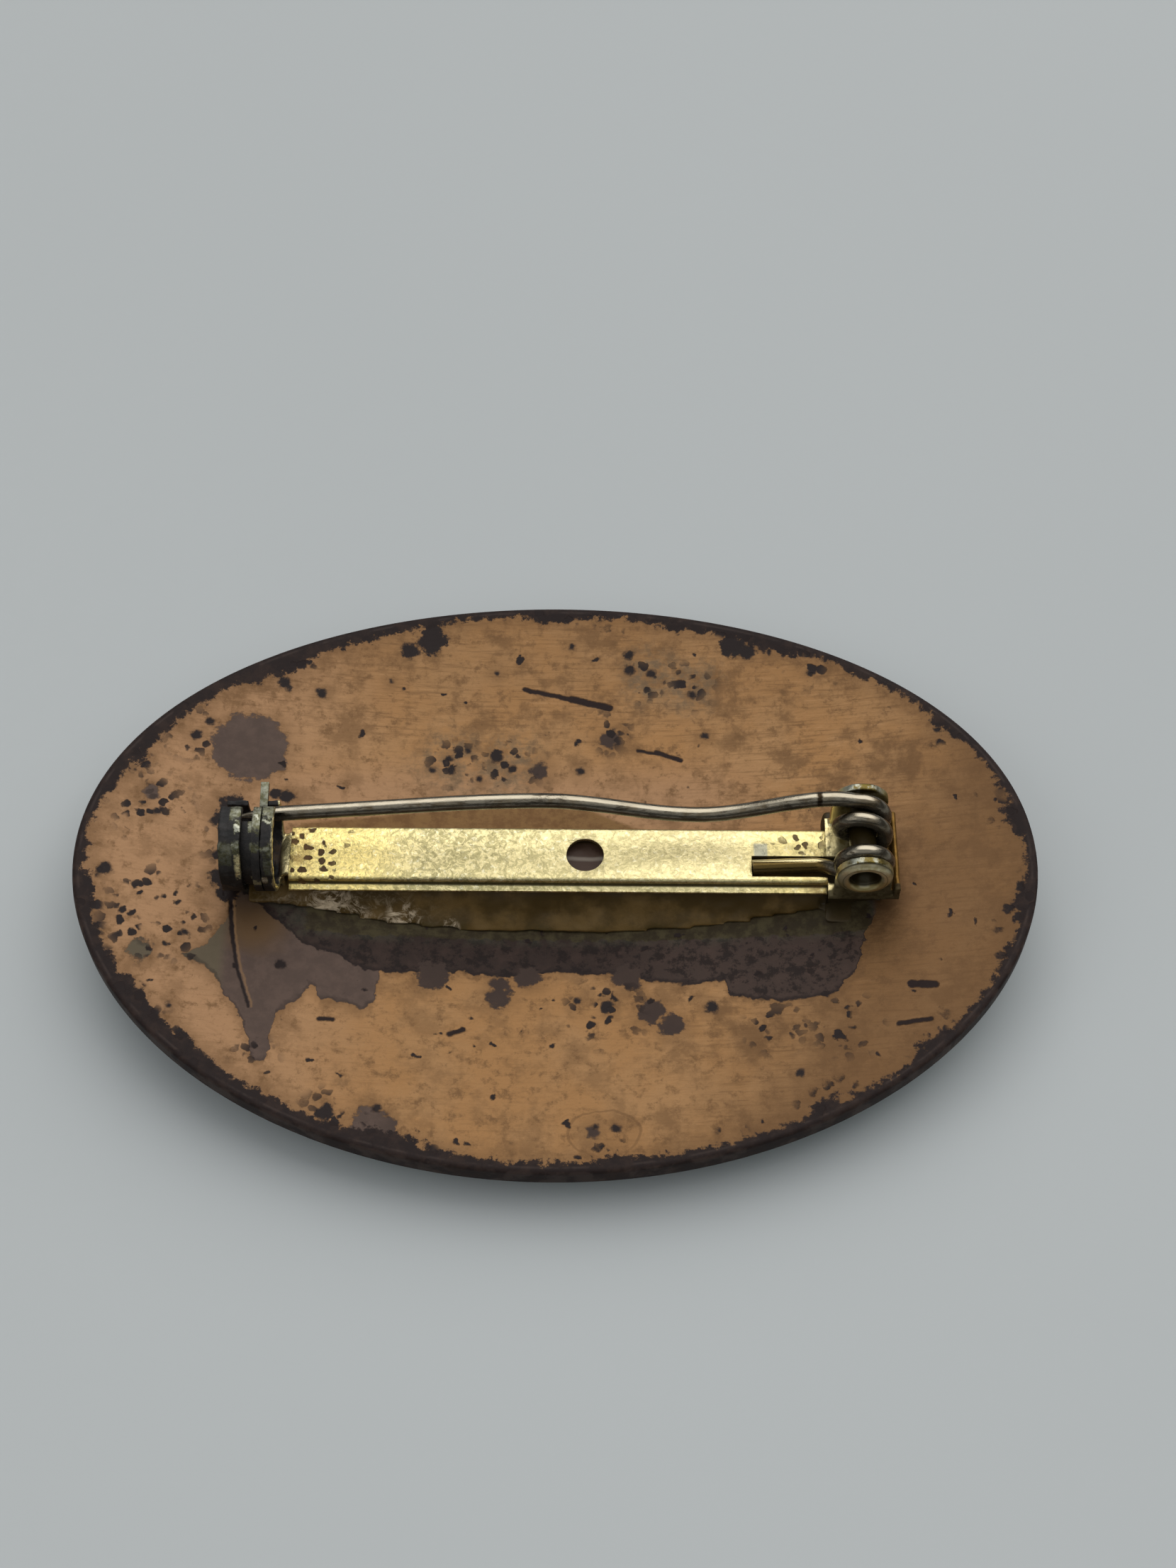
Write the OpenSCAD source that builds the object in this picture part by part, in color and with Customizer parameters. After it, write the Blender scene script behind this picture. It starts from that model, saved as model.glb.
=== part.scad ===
// Oval pin-back badge: a dished copper plate with an enamelled front and a
// safety-catch bar pin glued across its hollow back.
// The badge lies on its domed front. +Z points out of the back, +X runs from
// the catch to the pin's hinge, and the origin is the crown of the front.

/* [Badge plate] */
// Length of the oval
badge_l = 44.8; // [40:0.1:60]
// Width of the oval
badge_w = 30.6; // [24:0.2:44]
// Radius of the dish, on its hollow back
dish_r = 87; // [70:1:140]
// Thickness of the copper
copper_t = 1; // [0.6:0.1:1.6]
// Thickness of the enamel
enamel_t = 0.4; // [0.2:0.05:0.8]
// How far the enamel stops short of the copper's edge
enamel_inset = 0.15; // [0:0.05:0.5]

/* [Bar] */
// X of the channel's catch end
bar_x0 = -12.35; // [-14:0.05:-10]
// X of the channel's hinge end
bar_x1 = 12.65; // [11:0.05:14]
// Y of the bar's centre line
bar_y = 0.125; // [-1:0.025:1]
// Width of the channel over its flanges
bar_w = 2.75; // [2.4:0.05:4]
// Depth of the channel over its web
bar_h = 0.78; // [0.6:0.02:1.5]
// Thickness of the strip
strip_t = 0.26; // [0.2:0.02:0.4]
// Outer radius of the channel's folds
fold_r = 0.26; // [0.1:0.02:0.35]
// Radius of the hole in the bar
hole_r = 0.875; // [0.4:0.025:1]
// X of the hole in the bar
hole_x = 1.4; // [-6:0.1:6]
// Height of the bar's top over its foot at the catch
bar_rise = 1.14; // [1:0.02:2]
// Least thickness of adhesive under the foot
film_t = 0.03; // [0.01:0.01:0.3]

/* [Catch] */
// Outer radius of the catch's two rolled ears
ear_r = 2.12; // [1.8:0.02:3]
// Width of the inner ear, which the pin enters first
inner_ear_w = 0.58; // [0.4:0.02:1.2]
// Width of the outer ear
outer_ear_w = 1; // [0.5:0.05:1.6]
// Gap between the ears, which holds the rotor
rotor_slot = 0.9; // [0.7:0.02:1.6]
// Distance from the channel's end to the inner ear
catch_setback = 0.37; // [0.2:0.01:1]
// Y of the catch's centre line
catch_y = -0.23; // [-0.5:0.01:0.5]
// Where the ears' mouth starts, from +Y towards +Z
mouth_a0 = 18; // [5:1:20]
// Where the ears' mouth ends, from +Y towards +Z
mouth_a1 = 64; // [62:1:80]
// Width of the rotor's ring
rotor_w = 0.66; // [0.4:0.02:1.2]
// Thickness of the rotor's ring
rotor_t = 0.3; // [0.2:0.02:0.4]
// How far the rotor's ring stands proud of the ears
rotor_proud = 0.02; // [0:0.01:0.1]
// Distance of the tab's tip from the rotor's axis
tab_reach = 3.05; // [2.6:0.05:4]
// Running clearance round the rotor
rotor_play = 0.04; // [0.02:0.01:0.08]

/* [Hinge] */
// X of the hinge's axis
hinge_x = 14.15; // [14:0.05:16]
// Height of the hinge's axis over the bar's top
hinge_h = 1.8; // [1.6:0.05:3]
// Width of the hinge over its ears
hinge_w = 4.25; // [4.2:0.05:6]
// Thickness of the hinge's ears
hinge_ear_t = 0.35; // [0.25:0.01:0.4]
// Radius of the rounded top of the hinge's ears
hinge_ear_r = 1.3; // [1:0.05:1.6]
// Outer radius of the eyelet's barrel
barrel_r = 0.62; // [0.4:0.01:0.64]
// Wall of the eyelet
eyelet_t = 0.2; // [0.1:0.01:0.25]
// Radius of the eyelet's flared rim
flare_r = 1.17; // [0.9:0.01:1.25]
// Height of the lip behind the coil, over the bar's top
lip_h = 0.55; // [0.2:0.05:0.7]

/* [Wire] */
// Radius of the pin's wire
wire_r = 0.36; // [0.25:0.01:0.37]
// Radius of the coil at the middle of its wire
coil_r = 1.05; // [1.04:0.01:1.3]
// Advance of the coil for each turn
coil_pitch = 0.98; // [0.8:0.01:1]
// Y of the stem where it leaves the coil
stem_y = 1.42; // [1.35:0.01:1.5]
// Y of the turn that is held by the bar
held_turn_y = -1.26; // [-1.28:0.01:-1.15]
// Length of the ground point
point_l = 2; // [1:0.1:3]
// Radius left at the very tip
tip_r = 0.05; // [0.03:0.01:0.1]

/* [Hidden] */
$fn = 64;
outline_steps = 120;
wire_sides = 12;

// Height of the hollow back over its own centre
function dish_h(x, y) = dish_r - sqrt(dish_r * dish_r - x * x - y * y);

back_z = copper_t + enamel_t;
ball_z = back_z + dish_r;
rim_z = back_z + dish_h(badge_l / 2, 0) + 1;

// Bar, from the catch's foot upwards
inner_ear_x1 = bar_x0 - catch_setback;
inner_ear_x0 = inner_ear_x1 - inner_ear_w;
outer_ear_x1 = inner_ear_x0 - rotor_slot;
outer_ear_x0 = outer_ear_x1 - outer_ear_w;
neck_w = bar_w - 2 * fold_r;
foot_z = back_z + dish_h(outer_ear_x0, abs(bar_y) + neck_w / 2) + film_t;
web_z = foot_z + bar_rise;
web_under = web_z - strip_t;
flange_z = web_z - bar_h;
near_y = bar_y - bar_w / 2;
far_y = bar_y + bar_w / 2;

// Catch
rotor_r = ear_r + rotor_proud;
catch_z = foot_z + strip_t + rotor_play + rotor_r;
ear_bore = ear_r - strip_t;
rotor_x = inner_ear_x0 - rotor_slot / 2 + (rotor_slot - rotor_w) / 2 - rotor_play;
gap_margin = 3;
rib_r = ear_bore - rotor_play;
rib_t = 0.24;
rib_a0 = 85;
rib_a1 = 275;
rib_setback = 0.2;
tab_t = 0.3;

// Hinge
hinge_z = web_z + hinge_h;
hinge_near = bar_y - hinge_w / 2;
hinge_far = bar_y + hinge_w / 2;
coil_gap = 0.09;
floor_x1 = hinge_x + coil_r + wire_r + coil_gap + strip_t;
barrel_fit = 0.02;
rim_t = 0.15;

// Slot in the web that holds the spring's tail
slot_x0 = 9.15;
slot_x1 = hinge_x - 0.55;
slot_wide_x0 = bar_x1 + 0.05;
slot_far = 0.14;
slot_near = near_y + strip_t + 0.02;
tail_y = -0.43;
tail_in_y = -0.28;
tail_sunk = 0.08;
tail_z = web_z - tail_sunk;

// Stem, from the point to the coil
point_x = inner_ear_x0 - rotor_slot - 0.4;
straight_x1 = -5.5;
rest_a = 24;
rest_r = ear_bore - wire_r - 0.04;
rest_y = catch_y + rest_r * cos(rest_a);
rest_z = catch_z + rest_r * sin(rest_a);
crown_z = hinge_z + coil_r;
hump = [-0.6, crown_z + 0.1];
dip = [6.7, crown_z - 1.15];
shoulder = [hinge_x - 1.25, crown_z + 0.2];
stem_slope = 0.106;
stem_yaw = (stem_y - rest_y) / (hinge_x - inner_ear_x1);

// Adhesive: its top inside the channel, its spread beside the bar, and the knee of its slope
bed_top = web_under - 0.22;
bed_toe = 1.65;
bed_knee = 0.45;
knee_z = back_z + bed_knee * (flange_z - back_z);
foot_bed_l = 1.6;
foot_bed_w = 3.2;
hinge_bed_side = 0.5;
hinge_bed_end = 0.6;
tail_room = 0.1;
held_turn_room = 0.2;

// Overlap of shapes that are joined, and overshoot of shapes that cut
lap = 0.01;
over = 1;

/* Shapes that repeat */

// Points of an oval, from +X towards +Y
function oval(l, w) =
    [for (i = [0 : outline_steps - 1])
        [l / 2 * cos(360 * i / outline_steps), w / 2 * sin(360 * i / outline_steps)]];

module oval_prism(inset) {
    linear_extrude(height = rim_z)
        polygon(oval(badge_l - 2 * inset, badge_w - 2 * inset));
}

module dish_ball(r) {
    translate([0, 0, ball_z])
        sphere(r = r, $fn = 200);
}

// A block given by its low and high corners
module block(low, high) {
    translate(low)
        cube(high - low);
}

// A cylinder along +X from x0 to x1, about the catch's axis
module catch_drum(r, x0, x1) {
    translate([x0, catch_y, catch_z])
        rotate([90, 0, 90])
            cylinder(r = r, h = x1 - x0);
}

// A wedge about the catch's axis, from angle a0 to a1, that reaches past the ears
module catch_wedge(a0, a1, x0, x1) {
    max_step = 60;
    steps = ceil((a1 - a0) / max_step);
    reach = 3 * ear_r;
    translate([x0, catch_y, catch_z])
        rotate([90, 0, 90])
            linear_extrude(height = x1 - x0)
                polygon(concat([[0, 0]],
                    [for (i = [0 : steps])
                        let (a = a0 + (a1 - a0) * i / steps)
                        reach * [cos(a), sin(a)]]));
}

// A ring sector about the catch's axis
module catch_sector(r_in, r_out, a0, a1, x0, x1) {
    intersection() {
        difference() {
            catch_drum(r_out, x0, x1);
            catch_drum(r_in, x0 - over, x1 + over);
        }
        catch_wedge(a0, a1, x0, x1);
    }
}

// A cylinder along +Y from y0 to y1, about the hinge's axis
module hinge_drum(r, y0, y1) {
    translate([hinge_x, y0, hinge_z])
        rotate([-90, 0, 0])
            cylinder(r = r, h = y1 - y0);
}

function unit(v) = v / norm(v);
function ease(t) = t * t * (3 - 2 * t);

// Cubic from p to q, with slopes m and n
function hermite(p, q, m, n, t) =
    let (w = q.x - p.x)
    [p.x + w * t,
     (1 - ease(t)) * p.y + ease(t) * q.y + w * (t * (1 - t) * (1 - t) * m - t * t * (1 - t) * n)];

// Point of a coil about the hinge's axis, at angle a from +X towards +Z
function coil_point(a, y) =
    [hinge_x + coil_r * cos(a), y, hinge_z + coil_r * sin(a)];

// A tube of wire along a path that never runs along Y
module wire_tube(path, r) {
    n = len(path);
    rings = [for (i = [0 : n - 1])
        let (along = unit(path[min(i + 1, n - 1)] - path[max(i - 1, 0)]),
             side = unit([0, 1, 0] - along.y * along),
             up = cross(along, side))
        [for (k = [0 : wire_sides - 1])
            path[i] + r * (cos(360 * k / wire_sides) * side + sin(360 * k / wire_sides) * up)]];
    points = [for (ring = rings) each ring];
    walls = [for (i = [0 : n - 2], k = [0 : wire_sides - 1])
        let (a = i * wire_sides + k,
             b = i * wire_sides + (k + 1) % wire_sides)
        each [[a, a + wire_sides, b], [b, a + wire_sides, b + wire_sides]]];
    first = [for (k = [0 : wire_sides - 1]) k];
    last = [for (k = [wire_sides - 1 : -1 : 0]) (n - 1) * wire_sides + k];
    polyhedron(points, concat([first], walls, [last]));
}

/* Sub-parts */

module enamel_face() {
    color("#2f6a66")
        difference() {
            intersection() {
                oval_prism(enamel_inset);
                dish_ball(dish_r + copper_t + enamel_t);
            }
            dish_ball(dish_r + copper_t);
        }
}

module copper_plate() {
    color("#b07f5e")
        difference() {
            intersection() {
                oval_prism(0);
                dish_ball(dish_r + copper_t);
            }
            dish_ball(dish_r);
        }
}

// Section of the adhesive along the channel, in Y and Z
module bed_section() {
    polygon([
        [near_y - bed_toe, back_z],
        [near_y - bed_knee * bed_toe, knee_z],
        [near_y, flange_z],
        [near_y + strip_t, flange_z],
        [near_y + strip_t, bed_top],
        [far_y - strip_t, bed_top],
        [far_y - strip_t, flange_z],
        [far_y, flange_z],
        [far_y + bed_knee * bed_toe, knee_z],
        [far_y + bed_toe, back_z]
    ]);
}

module adhesive_bed() {
    color("#4a3714")
        intersection() {
            union() {
                translate([bar_x0, 0, 0])
                    rotate([90, 0, 90])
                        linear_extrude(height = bar_x1 - bar_x0)
                            bed_section();
                block([inner_ear_x1 - foot_bed_l, catch_y - foot_bed_w / 2, back_z],
                      [bar_x0, catch_y + foot_bed_w / 2, foot_z]);
                difference() {
                    block([bar_x1, hinge_near - hinge_bed_side, back_z],
                          [floor_x1 - hinge_bed_end, hinge_far + hinge_bed_side, web_under]);
                    block([bar_x1 - over, held_turn_y - held_turn_room, bed_top],
                          [slot_x1, slot_far + tail_room, web_under + over]);
                }
            }
            dish_ball(dish_r);
        }
}

// Channel section, with rounded folds
module channel_section() {
    difference() {
        union() {
            translate([near_y, flange_z])
                square([bar_w, bar_h - fold_r]);
            translate([near_y + fold_r, flange_z])
                square([bar_w - 2 * fold_r, bar_h]);
            for (y = [near_y + fold_r, far_y - fold_r])
                translate([y, web_z - fold_r])
                    circle(r = fold_r);
        }
        translate([near_y + strip_t, flange_z - over])
            square([bar_w - 2 * strip_t, bar_h - strip_t + over]);
    }
}

// Neck that steps down from the channel to the foot of the catch, in X and Z
module neck_section() {
    neck_lap = 0.2;
    bend_r = 0.5;
    bend_z = web_z - bend_r;
    difference() {
        translate([bar_x0, bend_z])
            circle(r = bend_r);
        translate([bar_x0, bend_z])
            circle(r = bend_r - strip_t);
        translate([bar_x0, bend_z - bend_r])
            square(2 * bend_r);
        translate([bar_x0 - bend_r, bend_z - 2 * bend_r])
            square(2 * bend_r);
    }
    translate([bar_x0 - bend_r, foot_z])
        square([strip_t, bend_z - foot_z + lap]);
    translate([outer_ear_x0, foot_z])
        square([bar_x0 - bend_r + strip_t - outer_ear_x0, strip_t]);
    translate([bar_x0 - lap, web_under])
        square([neck_lap, strip_t]);
}

// Rolled ear of the catch, on a flat foot, with its mouth cut away
module rolled_ear(x0, x1) {
    foot_w = 0.75;
    foot_h = 0.3;
    difference() {
        union() {
            catch_drum(ear_r, x0, x1);
            block([x0, catch_y - foot_w, foot_z + lap],
                  [x1, catch_y + foot_w, catch_z - ear_bore + foot_h]);
        }
        catch_drum(ear_bore, x0 - over, x1 + over);
        catch_wedge(mouth_a0, mouth_a1, x0 - over, x1 + over);
    }
}

// Ear of the hinge: an upright with a round top
module hinge_ear(y0, y1) {
    hinge_drum(hinge_ear_r, y0, y1);
    block([hinge_x - hinge_ear_r, y0, web_under],
          [hinge_x + hinge_ear_r, y1, hinge_z]);
}

// Floor of the hinge, its two ears and the lip behind the coil
module hinge_frame() {
    floor_lap = 0.2;
    block([bar_x1 - floor_lap, hinge_near, web_under], [floor_x1, hinge_far, web_z]);
    block([floor_x1 - strip_t, hinge_near, web_under], [floor_x1, hinge_far, web_z + lip_h]);
    translate([floor_x1 - strip_t / 2, hinge_near, web_z + lip_h])
        rotate([-90, 0, 0])
            cylinder(r = strip_t / 2, h = hinge_w);
    hinge_ear(hinge_near, hinge_near + hinge_ear_t);
    hinge_ear(hinge_far - hinge_ear_t, hinge_far);
}

module pin_bar() {
    color("#d9bf6a")
        difference() {
            union() {
                translate([bar_x0, 0, 0])
                    rotate([90, 0, 90])
                        linear_extrude(height = bar_x1 - bar_x0)
                            channel_section();
                translate([0, bar_y + neck_w / 2, 0])
                    rotate([90, 0, 0])
                        linear_extrude(height = neck_w)
                            neck_section();
                rolled_ear(outer_ear_x0, outer_ear_x1);
                rolled_ear(inner_ear_x0, inner_ear_x1);
                hinge_frame();
            }
            translate([hole_x, bar_y, web_under - over])
                cylinder(r = hole_r, h = strip_t + 2 * over);
            hinge_drum(barrel_r + barrel_fit, hinge_near - over, hinge_far + over);
            block([slot_x0, slot_near, web_under - over], [slot_x1, slot_far, web_z + over]);
            block([slot_wide_x0, held_turn_y, web_under - over],
                  [slot_x1, slot_far, web_z + over]);
        }
}

// Hollow rivet: a barrel with a trumpet flare at the near end, clinched at the far end
module hinge_eyelet() {
    bore = barrel_r - eyelet_t;
    near = bar_y - hinge_near;
    far = hinge_far - bar_y;
    mouth_r = 0.8;
    flare_l = 0.5;
    color("#b9b29a")
        translate([hinge_x, bar_y, hinge_z])
            rotate([90, 0, 0])
                rotate_extrude()
                    polygon([
                        [bore, -far - rim_t],
                        [bore, near - flare_l],
                        [bore + 0.08, near - 0.6 * flare_l],
                        [mouth_r - 0.08, near + 0.6 * rim_t],
                        [mouth_r, near + rim_t],
                        [flare_r - 0.06, near + rim_t],
                        [flare_r, near + 0.6 * rim_t],
                        [flare_r, near],
                        [barrel_r, near],
                        [barrel_r, -far],
                        [0.85 * flare_r, -far],
                        [0.85 * flare_r, -far - rim_t]
                    ]);
}

// Held turn of the spring and the tail that lies in the slot
module spring_tail() {
    start_a = 215;
    bend_x = slot_x1 - 1.6;
    turn = [for (a = [start_a : -12 : -85]) coil_point(a, held_turn_y)];
    leave = coil_point(-90, held_turn_y);
    bend = [for (i = [0 : 10])
        let (t = i / 10)
        [leave.x + (bend_x - leave.x) * t,
         held_turn_y + (tail_in_y - held_turn_y) * ease(t),
         leave.z + (tail_z - leave.z) * ease(t)]];
    color("#8f8d88")
        wire_tube(concat(turn, bend, [[slot_x0 + 0.04, tail_y, tail_z]]), wire_r);
}

function stem_z(x) = rest_z + stem_slope * (x - inner_ear_x1);
function on_stem(p) = [p.x, rest_y + stem_yaw * (p.x - inner_ear_x1), p.y];

// The shank is a true cylinder, and the wave and coil are a tube that starts inside it
module pin_stem() {
    hidden = 0.4;
    lead = 0.1;
    tube_sink = 0.01;
    tip = on_stem([point_x, stem_z(point_x)]);
    root = on_stem([straight_x1, stem_z(straight_x1)]);
    along = tip - root;
    shank_l = norm(along) - point_l;
    yaw = atan2(along.y, along.x);
    tilt = acos(along.z / norm(along));
    join = [straight_x1, stem_z(straight_x1)];
    crown = [hinge_x, crown_z];
    knots = [[join, hump, stem_slope, 0], [hump, dip, 0, 0], [dip, shoulder, 0, 0],
             [shoulder, crown, 0, 0]];
    steps = [8, 12, 12, 4];
    turns = 1.5;
    turn_step = 15;
    inside = on_stem([straight_x1 - hidden, stem_z(straight_x1 - hidden)]);
    past = on_stem([straight_x1 + lead, stem_z(straight_x1 + lead)]);
    wave = [for (k = [0 : 3], i = [(k == 0 ? 1 : 0) : steps[k] - 1])
        on_stem(hermite(knots[k][0], knots[k][1], knots[k][2], knots[k][3], i / steps[k]))];
    coil = [for (a = [0 : turn_step : 360 * turns])
        coil_point(90 - a, stem_y - coil_pitch * a / 360)];
    color("#9a9893") {
        translate(root)
            rotate([0, tilt, yaw])
                rotate_extrude()
                    polygon([[0, 0], [wire_r, 0], [wire_r, shank_l], [tip_r, shank_l + point_l],
                             [0, shank_l + point_l]]);
        wire_tube(concat([inside, past], wave, coil), wire_r - tube_sink);
    }
}

module catch_rotor() {
    x0 = rotor_x - rotor_w / 2;
    x1 = rotor_x + rotor_w / 2;
    gap_a0 = mouth_a0 - gap_margin;
    gap_a1 = mouth_a1 + gap_margin;
    tab_a = gap_a0 - 4;
    tab_root = rotor_r - rotor_t + 0.05;
    color("#7f7d76") {
        catch_sector(rotor_r - rotor_t, rotor_r, gap_a1, 360 + gap_a0, x0, x1);
        catch_sector(rib_r - rib_t, rotor_r, rib_a0, rib_a1, x0, x1);
        catch_sector(rib_r - rib_t, rib_r, rib_a0, rib_a1,
                     outer_ear_x0 + rib_setback, inner_ear_x1 - rib_setback);
        translate([x0, catch_y, catch_z])
            rotate([90, 0, 90])
                rotate([0, 0, tab_a])
                    translate([tab_root, -tab_t / 2, 0])
                        cube([tab_reach - tab_root, tab_t, rotor_w]);
    }
}

enamel_face();
copper_plate();
adhesive_bed();
pin_bar();
hinge_eyelet();
spring_tail();
pin_stem();
catch_rotor();
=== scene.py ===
"""Oval pin-back badge: a dished copper plate, enamelled in front, with a safety-catch bar pin glued behind."""

from math import cos, pi, radians, sin

import bmesh
import bpy
from bpy.props import FloatProperty, FloatVectorProperty, IntProperty, PointerProperty
from bpy.types import Operator, Panel, PropertyGroup
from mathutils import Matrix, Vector


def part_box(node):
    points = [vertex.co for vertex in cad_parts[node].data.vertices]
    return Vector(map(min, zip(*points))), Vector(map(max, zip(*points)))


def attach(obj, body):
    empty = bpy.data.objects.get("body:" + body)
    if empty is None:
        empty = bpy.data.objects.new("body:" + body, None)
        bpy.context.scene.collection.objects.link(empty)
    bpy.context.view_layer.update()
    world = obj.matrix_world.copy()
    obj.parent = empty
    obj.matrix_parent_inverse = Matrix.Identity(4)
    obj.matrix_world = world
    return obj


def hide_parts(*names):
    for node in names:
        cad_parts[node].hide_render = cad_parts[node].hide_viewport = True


bl_info = {
    "name": "Pin-back badge",
    "version": (1, 0, 0),
    "blender": (4, 5, 0),
    "location": "3D View > Sidebar > Badge",
    "description": "Builds a worn copper badge with its bar pin, piece by piece",
    "category": "Object",
}

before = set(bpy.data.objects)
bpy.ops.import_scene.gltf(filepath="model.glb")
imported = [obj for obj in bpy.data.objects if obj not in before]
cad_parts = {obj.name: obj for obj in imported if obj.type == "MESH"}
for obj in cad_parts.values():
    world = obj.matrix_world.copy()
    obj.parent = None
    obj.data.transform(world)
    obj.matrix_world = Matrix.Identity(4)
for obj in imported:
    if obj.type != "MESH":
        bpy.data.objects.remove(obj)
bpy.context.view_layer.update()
MM = 0.001

PLATE_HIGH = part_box("copper_plate")[1]
ENAMEL_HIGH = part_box("enamel_face")[1]
EYELET_LOW, EYELET_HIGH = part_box("hinge_eyelet")


def linear(code):
    """Linear colour of a hexadecimal display colour such as "c08a5e"."""
    parts = [int(code[i:i + 2], 16) / 255 for i in (0, 2, 4)]
    return tuple(c / 12.92 if c <= 0.04045 else ((c + 0.055) / 1.055) ** 2.4 for c in parts)


def length_property(name, description, default):
    return FloatProperty(
        name=name, description=description, default=default, min=0, subtype="DISTANCE", unit="LENGTH", precision=5)


def colour_property(name, description, code):
    return FloatVectorProperty(
        name=name, description=description, default=linear(code), size=3, min=0, max=1, subtype="COLOR")


# Sizes and colours that a user would change


class PlateSettings(PropertyGroup):
    half_length: length_property(
        "Half length", "Half the length of the copper oval", PLATE_HIGH.x)
    half_width: length_property(
        "Half width", "Half the width of the copper oval", PLATE_HIGH.y)
    dish_radius: length_property(
        "Dish radius", "Radius of the hollow back", 87 * MM)
    thickness: length_property(
        "Copper thickness", "Thickness of the copper sheet", 1 * MM)
    edge: length_property(
        "Filed edge", "Width of the worn edge round the back", 0.24 * MM)
    copper: colour_property("Copper", "Colour of the bare copper", "8f6c48")
    oxide: colour_property("Oxide", "Colour of the dark oxide by the adhesive", "332722")
    umber: colour_property("Brown oxide", "Colour of the oxide spots and of the oxide below the catch", "5c4b42")
    soot: colour_property("Firescale", "Colour of the scale round the rim", "241b19")


class EnamelSettings(PropertyGroup):
    half_length: length_property(
        "Half length", "Half the length of the enamel oval", ENAMEL_HIGH.x)
    half_width: length_property(
        "Half width", "Half the width of the enamel oval", ENAMEL_HIGH.y)
    thickness: length_property(
        "Enamel thickness", "Thickness of the fired enamel", 0.4 * MM)
    field: colour_property("Field", "Main colour of the enamel", "1f6f68")
    pool: colour_property("Pools", "Colour where the enamel lies thick", "0e3b45")


class FindingSettings(PropertyGroup):
    gilt: colour_property("Gilt", "Colour of the bright bar", "ead9a2")
    tarnish: colour_property("Tarnish", "Colour of the blackened catch", "14110f")
    nickel: colour_property("Nickel", "Colour of the plating where it is worn bright", "a8a796")
    wire: colour_property("Wire", "Colour of the spring wire", "7d7566")
    eyelet: colour_property("Eyelet", "Colour of the hollow rivet", "d2c8a4")
    strip: length_property("Strip", "Thickness of the bar's metal", 0.2 * MM)
    wire_radius: length_property("Wire radius", "Radius of the spring wire", 0.355 * MM)


class AdhesiveSettings(PropertyGroup):
    amber: colour_property("Amber", "Colour of the thin adhesive", "66502c")
    deep: colour_property("Deep", "Colour of the thick adhesive", "453518")
    bloom: colour_property("Bloom", "Colour of the crazed and milky places", "b9a78c")
    voxel: length_property("Grain", "Size of the cells that the adhesive is made from", 0.12 * MM)


class StageSettings(PropertyGroup):
    floor: colour_property("Floor", "Colour of the table", "b4b7b6")
    floor_size: length_property("Floor size", "Width of the table", 3.0)
    lens: FloatProperty(name="Lens", description="Focal length of the camera in millimetres", default=53.7, min=1)
    key_power: FloatProperty(name="Key", description="Power of the big soft lamp", default=4.6, min=0, unit="POWER")
    fill_power: FloatProperty(name="Fill", description="Power of the side lamp", default=0.5, min=0, unit="POWER")
    world_strength: FloatProperty(name="Room", description="Strength of the light of the room", default=0.88, min=0)
    flatness: IntProperty(name="Smoothness", description="Sides of the ovals and turned pieces", default=256, min=32)


# Modelling helpers


def clear_selection():
    if bpy.context.object and bpy.context.object.mode != "OBJECT":
        bpy.ops.object.mode_set(mode="OBJECT")
    bpy.ops.object.select_all(action="DESELECT")


def pick(piece):
    """Makes the piece the only one selected, and active."""
    clear_selection()
    piece.select_set(True)
    bpy.context.view_layer.objects.active = piece


def edit(piece):
    pick(piece)
    bpy.ops.object.mode_set(mode="EDIT")
    bpy.ops.mesh.select_all(action="SELECT")


def close(piece, name, angle=35):
    """Ends the modelling of a piece: faces turned out, shaded, placed at the origin and named."""
    edit(piece)
    bpy.ops.mesh.normals_make_consistent(inside=False)
    bpy.ops.object.mode_set(mode="OBJECT")
    bpy.ops.object.transform_apply(location=True, rotation=True, scale=True)
    bpy.ops.object.shade_smooth_by_angle(angle=radians(angle))
    piece.name = name
    piece.data.name = name
    clear_selection()
    return piece


def modify(piece, kind, **settings):
    """Adds a modifier with these settings and applies it."""
    pick(piece)
    bpy.ops.object.modifier_add(type=kind)
    modifier = piece.modifiers[-1]
    for key, value in settings.items():
        setattr(modifier, key, value)
    bpy.ops.object.modifier_apply(modifier=modifier.name)


def select_edges(piece, test):
    """Selects the edges of the piece in edit mode for which test(edge) is true."""
    bpy.ops.mesh.select_mode(type="EDGE")
    bpy.ops.mesh.select_all(action="DESELECT")
    mesh = bmesh.from_edit_mesh(piece.data)
    mesh.normal_update()
    for edge in mesh.edges:
        edge.select_set(test(edge))
    bmesh.update_edit_mesh(piece.data)


def cad_copy(node):
    """A clean copy of a CAD node's mesh: merged, with its flat faces whole, ready for worn edges."""
    piece = bpy.data.objects.new(node + "_copy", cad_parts[node].data.copy())
    bpy.context.scene.collection.objects.link(piece)
    pick(piece)
    bpy.ops.mesh.customdata_custom_splitnormals_clear()
    edit(piece)
    bpy.ops.mesh.remove_doubles(threshold=0.002 * MM)
    bpy.ops.mesh.dissolve_limited(angle_limit=radians(1.5))
    bpy.ops.object.mode_set(mode="OBJECT")
    return piece


def wear_edges(piece, width, segments=2, angle=40):
    modify(piece, "BEVEL", width=width, segments=segments, limit_method="ANGLE", angle_limit=radians(angle),
           use_clamp_overlap=True, harden_normals=False, miter_outer="MITER_ARC")


def melt(piece, voxel, rounds):
    """Remakes a piece from small cells and smooths it, which rounds its edges as filing and wear do."""
    modify(piece, "REMESH", mode="VOXEL", voxel_size=voxel, use_smooth_shade=True)
    modify(piece, "SMOOTH", factor=0.5, iterations=rounds)


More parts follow.
